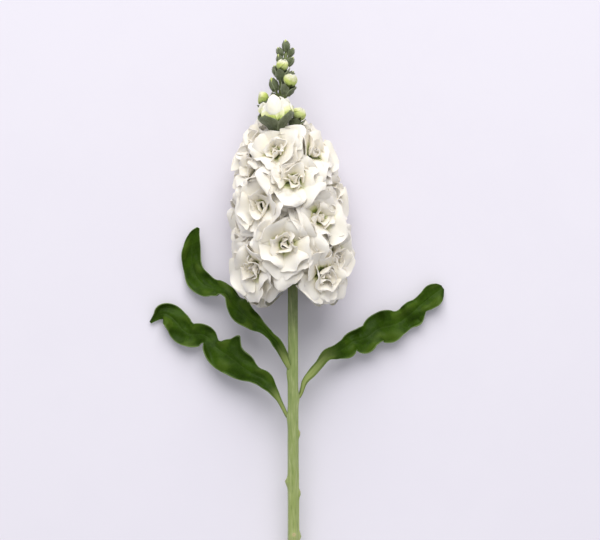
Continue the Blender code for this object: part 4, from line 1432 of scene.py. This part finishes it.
class Graph:
    """A short way to place and join the nodes of one tree."""

    def __init__(self, tree: Tree) -> None:
        """Work on a tree."""
        self.tree = tree

    def add(self, kind: str, inputs: dict[Any, Any] | None = None, **settings: Any) -> Node:
        """Add a node.

        Args:
            kind: The node's type, without the first word that all shader nodes share.
            inputs: A value or another node's output for each named or numbered input.
            **settings: The node's own properties.

        Returns:
            The new node.
        """
        made = self.tree.nodes.new(kind if kind.startswith("Node") else f"ShaderNode{kind}")
        for name, value in settings.items():
            setattr(made, name, value)
        for name, value in (inputs or {}).items():
            self.put(made.inputs[name], value)
        return made

    def put(self, socket: Socket, value: Any) -> None:
        """Join an output to an input, or set the input's value."""
        if isinstance(value, Socket):
            self.tree.links.new(value, socket)
        elif socket.type == "RGBA":
            socket.default_value = (*value[:3], 1.0)
        else:
            socket.default_value = value

    def sum(self, operation: str, a: Any, b: Any = 0.0) -> Socket:
        """The output of a Math node."""
        return self.add("Math", {0: a, 1: b}, operation=operation).outputs[0]

    def times(self, a: Any, b: Any) -> Socket:
        """The product of two values."""
        return self.sum("MULTIPLY", a, b)

    def mix(self, factor: Any, a: Any, b: Any) -> Socket:
        """The output of a node that mixes two colours."""
        return self.add("Mix", {0: factor, 6: a, 7: b}, data_type="RGBA").outputs[2]

    def span(self, value: Any, low: float, high: float, to_low: float = 0.0, to_high: float = 1.0) -> Socket:
        """The output of a smooth Map Range node."""
        inputs = {"Value": value, "From Min": low, "From Max": high, "To Min": to_low, "To Max": to_high}
        return self.add("MapRange", inputs, interpolation_type="SMOOTHSTEP").outputs[0]

    def ramp(self, factor: Any, stops: Sequence[tuple[float, Colour]]) -> Socket:
        """The colour output of a ramp with the given stops."""
        made = self.add("ValToRGB", {"Fac": factor})
        made.color_ramp.interpolation = "EASE"
        while len(made.color_ramp.elements) < len(stops):
            made.color_ramp.elements.new(0.5)
        for element, (place, colour) in zip(made.color_ramp.elements, stops):
            element.position = place
            element.color = (*colour, 1.0)
        return made.outputs[0]

    def place(self) -> Sequence[Socket]:
        """The three numbers that each point of a piece carries."""
        read = self.add("Attribute", attribute_name=Skin.PLACE)
        return self.add("SeparateXYZ", {0: read.outputs["Vector"]}).outputs[:]

    def where(self) -> Socket:
        """Where a point lies in its piece's own frame."""
        return self.add("TexCoord").outputs["Object"]

    def stretched(self, where: Socket, factors: Any) -> Socket:
        """Places, scaled by a factor along each axis."""
        return self.add("VectorMath", {0: where, 1: factors}, operation="MULTIPLY").outputs[0]

    def cloud(self, where: Socket, scale: Any, detail: float) -> Socket:
        """The value of a noise texture."""
        return self.add("TexNoise", {"Vector": where, "Scale": scale, "Detail": detail}).outputs[0]

    def dress(self, shader: Node, colour: Socket, relief: Span, height: Socket, rough: Any = None) -> None:
        """Give a shader what changes over the surface.

        Args:
            shader: The Principled shader.
            colour: Its base colour.
            relief: The strength and the distance of its bump.
            height: The height of its bump.
            rough: Its roughness, where that changes.
        """
        self.put(shader.inputs["Base Color"], colour)
        bump = self.add("Bump", {"Strength": relief[0], "Distance": relief[1], "Height": height})
        self.put(shader.inputs["Normal"], bump.outputs[0])
        if rough is not None:
            self.put(shader.inputs["Roughness"], rough)


def new_group(name: str, inputs: dict[str, Any], output: str) -> tuple[Graph, list[Socket], Socket]:
    """Start a shader node group with named sockets.

    Args:
        name: The group's name.
        inputs: The first value of each named input, a number or a colour.
        output: The name of its output, which is a colour where an input has that name.

    Returns:
        The group's graph, the values of its inputs, and the socket of its output.
    """
    group = bpy.data.node_groups.new(name, "ShaderNodeTree")
    for label, value in inputs.items():
        kind = "NodeSocketColor" if isinstance(value, tuple) else "NodeSocketFloat"
        made = group.interface.new_socket(label, in_out="INPUT", socket_type=kind)
        made.default_value = (*value, 1.0) if isinstance(value, tuple) else value
    kind = "NodeSocketColor" if output in inputs else "NodeSocketFloat"
    group.interface.new_socket(output, in_out="OUTPUT", socket_type=kind)
    graph = Graph(group)
    taken, given = graph.add("NodeGroupInput"), graph.add("NodeGroupOutput")
    return graph, [taken.outputs[label] for label in inputs], given.inputs[0]


class SharedEffects:
    """The node groups that more than one finish uses."""

    BROAD_SHARE, SMALL_SHARE, FINER = 0.7, 0.3, 5.0
    PATCH_START, PATCH_END = 0.40, 0.62
    WANDER, WANDER_SCALE = 0.10, 260.0
    FORK_START, FORK_END = 0.45, 0.8
    CELL_HEIGHT = 0.5

    def __init__(self) -> None:
        """Build every group once."""
        self.mottle, self.veins, self.down = self._mottle(), self._veins(), self._down()

    def _mottle(self) -> Tree:
        """Soft patches of a second colour, at two sizes."""
        inputs = {"Colour": (0.5, 0.5, 0.5), "Patch colour": (0.4, 0.4, 0.4), "Scale": 120.0, "Amount": 0.5}
        graph, (colour, patch, scale, amount), out = new_group("soft_mottle", inputs, "Colour")
        where = graph.where()
        broad = graph.times(graph.cloud(where, scale, 3.0), self.BROAD_SHARE)
        small = graph.times(graph.cloud(where, graph.times(scale, self.FINER), 2.0), self.SMALL_SHARE)
        mask = graph.span(graph.sum("ADD", broad, small), self.PATCH_START, self.PATCH_END)
        graph.put(out, graph.mix(graph.times(mask, amount), colour, patch))
        return graph.tree

    def _veins(self) -> Tree:
        """Fine veins that fan out from the foot of a petal or sepal and double toward its tip, as a mask."""
        inputs = {"Across": 0.0, "Along": 0.0, "Count": 9.0, "Sharpness": 5.0}
        graph, (across, along, count, sharpness), out = new_group("fan_veins", inputs, "Mask")
        wander = graph.times(graph.cloud(graph.where(), self.WANDER_SCALE, 1.0), self.WANDER)
        bent = graph.sum("ADD", across, wander)
        turns = [graph.times(bent, graph.times(count, part)) for part in (math.pi, TURN)]
        few, many = (graph.sum("SINE", turn) for turn in turns)
        forked = graph.span(along, self.FORK_START, self.FORK_END)
        both = graph.add("Mix", {0: forked, 2: few, 3: many}, data_type="FLOAT")
        graph.put(out, graph.sum("POWER", graph.sum("ABSOLUTE", both.outputs[0]), sharpness))
        return graph.tree

    def _down(self) -> Tree:
        """The fine felt and cell grain of a plant's skin, as a height."""
        graph, (scale, stretch), out = new_group("skin_grain", {"Scale": 1500.0, "Stretch": 0.25}, "Height")
        factors = graph.add("CombineXYZ", {0: 1.0, 1: stretch, 2: 1.0}).outputs[0]
        long = graph.stretched(graph.where(), factors)
        cells = graph.add("TexVoronoi", {"Vector": long, "Scale": scale}).outputs["Distance"]
        raised = graph.times(cells, self.CELL_HEIGHT)
        graph.put(out, graph.sum("ADD", graph.cloud(long, scale, 3.0), raised))
        return graph.tree

    def mottled(self, graph: Graph, colour: Any, patch: Any, form: Span) -> Socket:
        """A colour with patches of a second one, whose form is their scale and amount."""
        inputs = {"Colour": colour, "Patch colour": patch, "Scale": form[0], "Amount": form[1]}
        return graph.add("Group", inputs, node_tree=self.mottle).outputs[0]

    def veined(self, graph: Graph, across: Socket, along: Socket, form: Span) -> Socket:
        """The mask of fanned veins, whose form is their count and sharpness."""
        inputs = {"Across": across, "Along": along, "Count": form[0], "Sharpness": form[1]}
        return graph.add("Group", inputs, node_tree=self.veins).outputs[0]

    def grain(self, graph: Graph, form: Span) -> Socket:
        """The height of the skin's grain, whose form is its scale and its stretch along Y."""
        return graph.add("Group", {"Scale": form[0], "Stretch": form[1]}, node_tree=self.down).outputs[0]


@dataclass(frozen=True)
class Surface:
    """The constants of a finish's shader."""

    roughness: float
    specular: float
    subsurface: float = 0.0
    subsurface_scale: float = 2 * MM
    subsurface_radius: Triple = (1.0, 1.0, 1.0)
    sheen: float = 0.0
    sheen_roughness: float = 0.5
    coat: float = 0.0
    coat_roughness: float = 0.3

    def shader(self, name: str) -> tuple[Material, Graph, Node]:
        """Start a material with these constants.

        Args:
            name: The material's name.

        Returns:
            The material, its graph and its Principled shader.
        """
        made = bpy.data.materials.new(name)
        made.use_nodes = True
        shader = made.node_tree.nodes["Principled BSDF"]
        constants = {
            "Roughness": self.roughness,
            "Specular IOR Level": self.specular,
            "Subsurface Weight": self.subsurface,
            "Subsurface Scale": self.subsurface_scale,
            "Subsurface Radius": self.subsurface_radius,
            "Sheen Weight": self.sheen,
            "Sheen Roughness": self.sheen_roughness,
            "Coat Weight": self.coat,
            "Coat Roughness": self.coat_roughness,
        }
        for label, value in constants.items():
            shader.inputs[label].default_value = value
        return made, Graph(made.node_tree), shader


@dataclass(frozen=True)
class PetalFinish:
    """White petals: green at the claw, darker at its foot as painted shade deep in the flower, cream at the
    heart, with faint fanned veins.

    In every finish a change is where a value starts and ends, and what it turns into there.
    """

    name: str
    stops: tuple[tuple[float, Colour], ...]
    shade: Colour = (0.84, 0.81, 0.71)
    own_shade: float = 0.16
    vein: Colour = (0.74, 0.71, 0.54)
    veins: Change = (0.05, 0.9, 0.22, 0.05)
    vein_height: float = -0.6
    grain_height: float = 0.25
    mottle: Span = (150.0, 0.28)
    fan: Span = (7.0, 6.0)
    grain: Span = (1400.0, 1.0)
    relief: Span = (0.25, 0.12 * MM)
    rough: Change = (0.2, 0.9, 0.46, 0.60)
    surface: Surface = Surface(0.52, 0.30, 0.30, 1.6 * MM, (1.0, 0.92, 0.72), 0.12, 0.4)

    def make(self, effects: SharedEffects) -> Material:
        """Build the material from the shared effects."""
        made, graph, shader = self.surface.shader(self.name)
        across, along, own = graph.place()
        colour = graph.ramp(along, self.stops)
        soft = effects.mottled(graph, colour, graph.mix(0.5, colour, self.shade), self.mottle)
        tinted = graph.mix(graph.times(own, self.own_shade), soft, self.shade)
        veins = effects.veined(graph, across, along, self.fan)
        inner = graph.span(along, *self.veins)
        lined = graph.mix(graph.times(veins, inner), tinted, self.vein)
        grain = effects.grain(graph, self.grain)
        height = graph.sum("ADD", graph.times(veins, self.vein_height), graph.times(grain, self.grain_height))
        graph.dress(shader, lined, self.relief, height, graph.span(grain, *self.rough))
        return made


@dataclass(frozen=True)
class SepalFinish:
    """Grey-green felted sepals with a darker base and pale edges."""

    name: str = "sepal_felt"
    base: Colour = (0.060, 0.082, 0.022)
    middle: Colour = (0.100, 0.125, 0.060)
    tip: Colour = (0.150, 0.175, 0.090)
    edge: Colour = (0.33, 0.37, 0.235)
    middle_place: float = 0.45
    own_shade: float = 0.35
    rim: Span = (0.72, 1.0)
    rim_amount: float = 0.65
    vein_amount: float = 0.25
    vein_height: float = 0.8
    mottle: Span = (420.0, 0.30)
    fan: Span = (2.0, 4.0)
    grain: Span = (2600.0, 0.4)
    relief: Span = (0.6, 0.20 * MM)
    surface: Surface = Surface(0.72, 0.25, 0.08, 0.8 * MM, (0.7, 1.0, 0.4), 0.28, 0.45)

    def make(self, effects: SharedEffects) -> Material:
        """Build the material from the shared effects."""
        made, graph, shader = self.surface.shader(self.name)
        across, along, own = graph.place()
        stops = (0.0, self.base), (self.middle_place, self.middle), (1.0, self.tip)
        colour = graph.ramp(along, stops)
        soft = effects.mottled(graph, colour, self.edge, self.mottle)
        rim = graph.span(graph.sum("ABSOLUTE", across), *self.rim)
        rimmed = graph.mix(graph.times(rim, self.rim_amount), soft, self.edge)
        veins = effects.veined(graph, across, along, self.fan)
        lined = graph.mix(graph.times(veins, self.vein_amount), rimmed, self.base)
        shaded = graph.mix(graph.times(own, self.own_shade), lined, self.middle)
        raised = graph.times(veins, self.vein_height)
        height = graph.sum("ADD", effects.grain(graph, self.grain), raised)
        graph.dress(shader, shaded, self.relief, height)
        return made


@dataclass(frozen=True)
class StalkFinish:
    """A light green ribbed stalk, yellower low down, with tan scars; under the flowers it turns darker olive,
    partly its own tone and partly painted shade of the head.
    """

    name: str = "stalk_skin"
    ends: Span = (-0.19, 0.19)
    stops: tuple[tuple[float, Colour], ...] = (
        (0.0, (0.335, 0.400, 0.128)),
        (0.42, (0.258, 0.332, 0.104)),
        (0.53, (0.262, 0.336, 0.110)),
        # partly the stalk's own olive tone, partly painted shade from the head above
        (0.61, (0.138, 0.180, 0.055)),
    )
    streak: Colour = (0.47, 0.52, 0.26)
    groove: Colour = (0.13, 0.20, 0.045)
    scar: Colour = (0.46, 0.40, 0.20)
    scar_heart: Colour = (0.24, 0.17, 0.08)
    fibre_stretch: Triple = (1.0, 0.06, 1.0)
    fibre_scale: float = 900.0
    fibre_detail: float = 4.0
    fibre_height: float = 1.2
    light: Change = (0.48, 0.72, 0.0, 0.55)
    dark: Change = (0.46, 0.28, 0.0, 0.55)
    scarred: Span = (0.25, 0.6)
    hearted: Span = (0.80, 0.98)
    mottle: Span = (60.0, 0.18)
    grain: Span = (1800.0, 0.12)
    relief: Span = (0.5, 0.18 * MM)
    rough: Change = (0.3, 0.7, 0.40, 0.58)
    surface: Surface = Surface(0.48, 0.40, 0.12, 1.0 * MM, (0.8, 1.0, 0.3), 0.15, 0.4)

    def make(self, effects: SharedEffects) -> Material:
        """Build the material from the shared effects."""
        made, graph, shader = self.surface.shader(self.name)
        mark, where = graph.place()[2], graph.where()
        up = graph.span(graph.add("SeparateXYZ", {0: where}).outputs[1], *self.ends)
        body = graph.ramp(up, self.stops)
        stretched = graph.stretched(where, self.fibre_stretch)
        fibre = graph.cloud(stretched, self.fibre_scale, self.fibre_detail)
        light = graph.mix(graph.span(fibre, *self.light), body, self.streak)
        dark = graph.mix(graph.span(fibre, *self.dark), light, self.groove)
        soft = effects.mottled(graph, dark, self.streak, self.mottle)
        marked = graph.mix(graph.span(mark, *self.scarred), soft, self.scar)
        hearted = graph.mix(graph.span(mark, *self.hearted), marked, self.scar_heart)
        raised = graph.times(fibre, self.fibre_height)
        height = graph.sum("ADD", effects.grain(graph, self.grain), raised)
        graph.dress(shader, hearted, self.relief, height, graph.span(fibre, *self.rough))
        return made


@dataclass(frozen=True)
class LeafFinish:
    """Deep green leaves with a satin skin, a pale midrib, fine side veins, painted highlight on raised folds,
    and a pale edge, partly own tone and partly painted highlight.
    """

    name: str = "leaf_skin"
    blade: Colour = (0.020, 0.049, 0.0008)
    patch: Colour = (0.035, 0.080, 0.0015)
    # painted highlight: the colour that the raised folds turn toward, which leaves the hollows darker
    ridge_highlight: Colour = (0.072, 0.124, 0.011)
    vein: Colour = (0.085, 0.130, 0.035)
    edge: Colour = (0.200, 0.275, 0.110)
    petiole: Colour = (0.280, 0.340, 0.110)
    raised: Span = (0.49, 0.62)
    ridge_highlight_amount: float = 0.55
    net_scale: float = 620.0
    net_line: Span = (0.12, 0.0)
    net_amount: float = 0.12
    net_height: float = -0.8
    midrib: Span = (0.06, 0.01)
    midrib_amount: float = 0.07
    # the pale rim is partly the margin's own paler tone and partly painted highlight
    rim: Span = (0.92, 1.0)
    rim_amount: float = 0.8
    stalk_along: Span = (1.25, 0.45)
    stalk_across: Change = (1.0, 0.3, 0.35, 1.0)
    grain_height: float = 0.5
    mottle: Span = (110.0, 0.8)
    grain: Span = (1500.0, 1.0)
    relief: Span = (0.3, 0.10 * MM)
    rough: Change = (0.3, 0.9, 0.40, 0.48)
    surface: Surface = Surface(0.42, 0.07, 0.03, 1.0 * MM, (0.5, 1.0, 0.2), 0.0, 0.4, 0.02, 0.25)

    def make(self, effects: SharedEffects) -> Material:
        """Build the material from the shared effects."""
        made, graph, shader = self.surface.shader(self.name)
        across, along, height = graph.place()
        off = graph.sum("ABSOLUTE", across)
        soft = effects.mottled(graph, self.blade, self.patch, self.mottle)
        # painted highlight on the raised folds, read from the blade's fold height
        raised = graph.times(graph.span(height, *self.raised), self.ridge_highlight_amount)
        lit = graph.mix(raised, soft, self.ridge_highlight)
        cells = {"Vector": graph.where(), "Scale": self.net_scale}
        net = graph.add("TexVoronoi", cells, feature="DISTANCE_TO_EDGE").outputs["Distance"]
        mesh = graph.span(net, *self.net_line)
        netted = graph.mix(graph.times(mesh, self.net_amount), lit, self.vein)
        midrib = graph.times(graph.span(off, *self.midrib), self.midrib_amount)
        # pale rim: partly the margin's own tone, partly painted highlight
        rim = graph.times(graph.span(off, *self.rim), self.rim_amount)
        edged = graph.mix(rim, graph.mix(midrib, netted, self.edge), self.edge)
        stalked = graph.times(graph.span(along, *self.stalk_along), graph.span(off, *self.stalk_across))
        whole = graph.mix(stalked, edged, self.petiole)
        grain = effects.grain(graph, self.grain)
        relief = graph.sum("ADD", graph.times(mesh, self.net_height), graph.times(grain, self.grain_height))
        graph.dress(shader, whole, self.relief, relief, graph.span(grain, *self.rough))
        return made


@dataclass(frozen=True)
class TableFinish:
    """A smooth pale lavender-white table."""

    name: str = "pale_table"
    colour: Colour = (0.795, 0.770, 0.855)
    patch: Colour = (0.777, 0.752, 0.840)
    mottle: Span = (8.0, 0.5)
    grain: Span = (900.0, 1.0)
    relief: Span = (0.08, 0.05 * MM)
    surface: Surface = Surface(0.80, 0.20)

    def make(self, effects: SharedEffects) -> Material:
        """Build the material from the shared effects."""
        made, graph, shader = self.surface.shader(self.name)
        soft = effects.mottled(graph, self.colour, self.patch, self.mottle)
        graph.dress(shader, soft, self.relief, effects.grain(graph, self.grain))
        return made


@dataclass(frozen=True)
class Studio:
    """The pale table, the soft light from past the tip, the sky, and the camera straight above."""

    middle: Span = (1.8 * MM, 51.9 * MM)
    camera_height: float = 1.6
    focus_height: float = 20 * MM
    view_width: float = 0.360
    sensor: float = 36.0
    furthest: float = 20.0
    table_size: float = 8.0
    lamp_place: Triple = (0.04, 2.20, 2.00)
    lamp_size: float = 3.2
    lamp_power: float = 95.0
    lamp_colour: Colour = (1.0, 0.985, 0.96)
    sky_colour: Colour = (0.97, 0.975, 1.0)
    sky_strength: float = 0.525

    def build(self, table: Material) -> None:
        """Make the table, the lights and the camera."""
        self._lay_table(table)
        self._hang_light()
        self._set_sky()
        self._place_camera()

    def _lay_table(self, finish: Material) -> None:
        """Make the table, a square at z = 0."""
        half = self.table_size / 2
        data = bpy.data.meshes.new("table")
        corners = [(-half, -half, 0), (half, -half, 0), (half, half, 0), (-half, half, 0)]
        data.from_pydata(corners, [], [(0, 1, 2, 3)])
        data.materials.append(finish)
        floor = add_object("table", data)

    def _hang_light(self) -> None:
        """Make the round lamp, turned toward the middle of the picture."""
        lamp = bpy.data.lights.new("window_light", "AREA")
        lamp.shape, lamp.size = "DISK", self.lamp_size
        lamp.energy, lamp.color = self.lamp_power, self.lamp_colour
        held = add_object("window_light", lamp)
        held.location = self.lamp_place
        aim = Vector((*self.middle, 0)) - Vector(self.lamp_place)
        held.rotation_euler = aim.to_track_quat("-Z", "Y").to_euler()

    def _set_sky(self) -> None:
        """Make the even light from all round."""
        sky = bpy.context.scene.world = bpy.data.worlds.new("soft_sky")
        sky.use_nodes = True
        colour, strength = sky.node_tree.nodes["Background"].inputs[:2]
        colour.default_value = (*self.sky_colour, 1.0)
        strength.default_value = self.sky_strength

    def _place_camera(self) -> None:
        """Make the camera, which looks straight down on the middle of the picture."""
        scene = bpy.context.scene
        lens = bpy.data.cameras.new("camera")
        lens.sensor_width, lens.clip_end = self.sensor, self.furthest
        lens.lens = self.sensor * (self.camera_height - self.focus_height) / self.view_width
        scene.camera = add_object("camera", lens)
        scene.camera.location = (*self.middle, self.camera_height)
        scene.view_settings.view_transform = "Standard"


PETAL_WHITE = PetalFinish("petal_white", (
    # the darkest green at the claw's foot is painted shade deep in the flower, over the claw's own green
    (0.0, (0.07, 0.11, 0.008)),
    (0.20, (0.30, 0.38, 0.05)),
    (0.32, (0.72, 0.73, 0.40)),
    (0.46, (0.925, 0.87, 0.74)),
    (1.0, (0.95, 0.895, 0.81)),
))
HALF_OPEN_WHITE = PetalFinish("half_open_white", (
    (0.0, (0.12, 0.19, 0.015)),
    (0.26, (0.26, 0.36, 0.03)),
    (0.46, (0.44, 0.54, 0.07)),
    (0.62, (0.82, 0.83, 0.42)),
    (0.74, (0.95, 0.92, 0.79)),
), vein=(0.10, 0.16, 0.015), veins=(0.05, 0.9, 0.9, 0.0))
BUD_CREAM = PetalFinish("bud_cream", (
    (0.0, (0.12, 0.19, 0.015)),
    (0.26, (0.30, 0.42, 0.035)),
    (0.54, (0.50, 0.60, 0.09)),
    (0.76, (0.78, 0.80, 0.40)),
    (1.0, (0.90, 0.89, 0.70)),
))


def build_sepals(seats: Sequence[Seat], finish: Material) -> Piece:
    """Make the sepals of every flower and bud.

    Args:
        seats: Every flower's seat.
        finish: The sepals' material.

    Returns:
        The new piece.
    """
    skin, calyx, draw = Skin(), Calyx(), random.Random(SEED + 5)
    for seat in seats:
        calyx.add(skin, seat, draw)
    return skin.piece("sepals", finish, "stalk", "stem")


def build_bud_hearts(seats: Sequence[Seat], finish: Material) -> Piece:
    """Make the folded petals inside the closed buds.

    Args:
        seats: Every flower's seat.
        finish: The material of young petals.

    Returns:
        The new piece.
    """
    skin, heart = Skin(), BudHeart()
    for seat in seats:
        if seat.kind is SeatKind.CLOSED:
            heart.add(skin, seat)
    return skin.piece("bud_hearts", finish, "bud_petal", "stem")


def main() -> None:
    """Build every piece of the stem and the studio round it."""
    logging.basicConfig(level=logging.INFO, format="%(name)s %(message)s")
    effects = SharedEffects()
    skeleton = Skeleton()
    Studio().build(TableFinish().make(effects))
    seats = skeleton.floret_seats() + skeleton.bud_seats()
    petals, creams = PETAL_WHITE.make(effects), BUD_CREAM.make(effects)
    half_open = HALF_OPEN_WHITE.make(effects)
    stations = skeleton.stations()
    opened = 0
    for index, seat in enumerate(seats):
        if index < skeleton.florets:
            Flower(f"floret_{index + 1:02d}", index, "petal").build(seats, stations, petals)
        elif seat.kind is not SeatKind.CLOSED:
            opened += 1
            young = half_open if seat.kind is SeatKind.HALF_OPEN else creams
            Flower(f"opening_bud_{opened}", index, "bud_petal").build(seats, stations, young)
    StalkBody(skeleton).build(seats, StalkFinish().make(effects))
    build_sepals(seats, SepalFinish().make(effects))
    build_bud_hearts(seats, creams)
    leaf_skin = LeafFinish().make(effects)
    for leaf in LEAVES:
        leaf.build(leaf_skin)


if __name__ == "__main__":
    main()
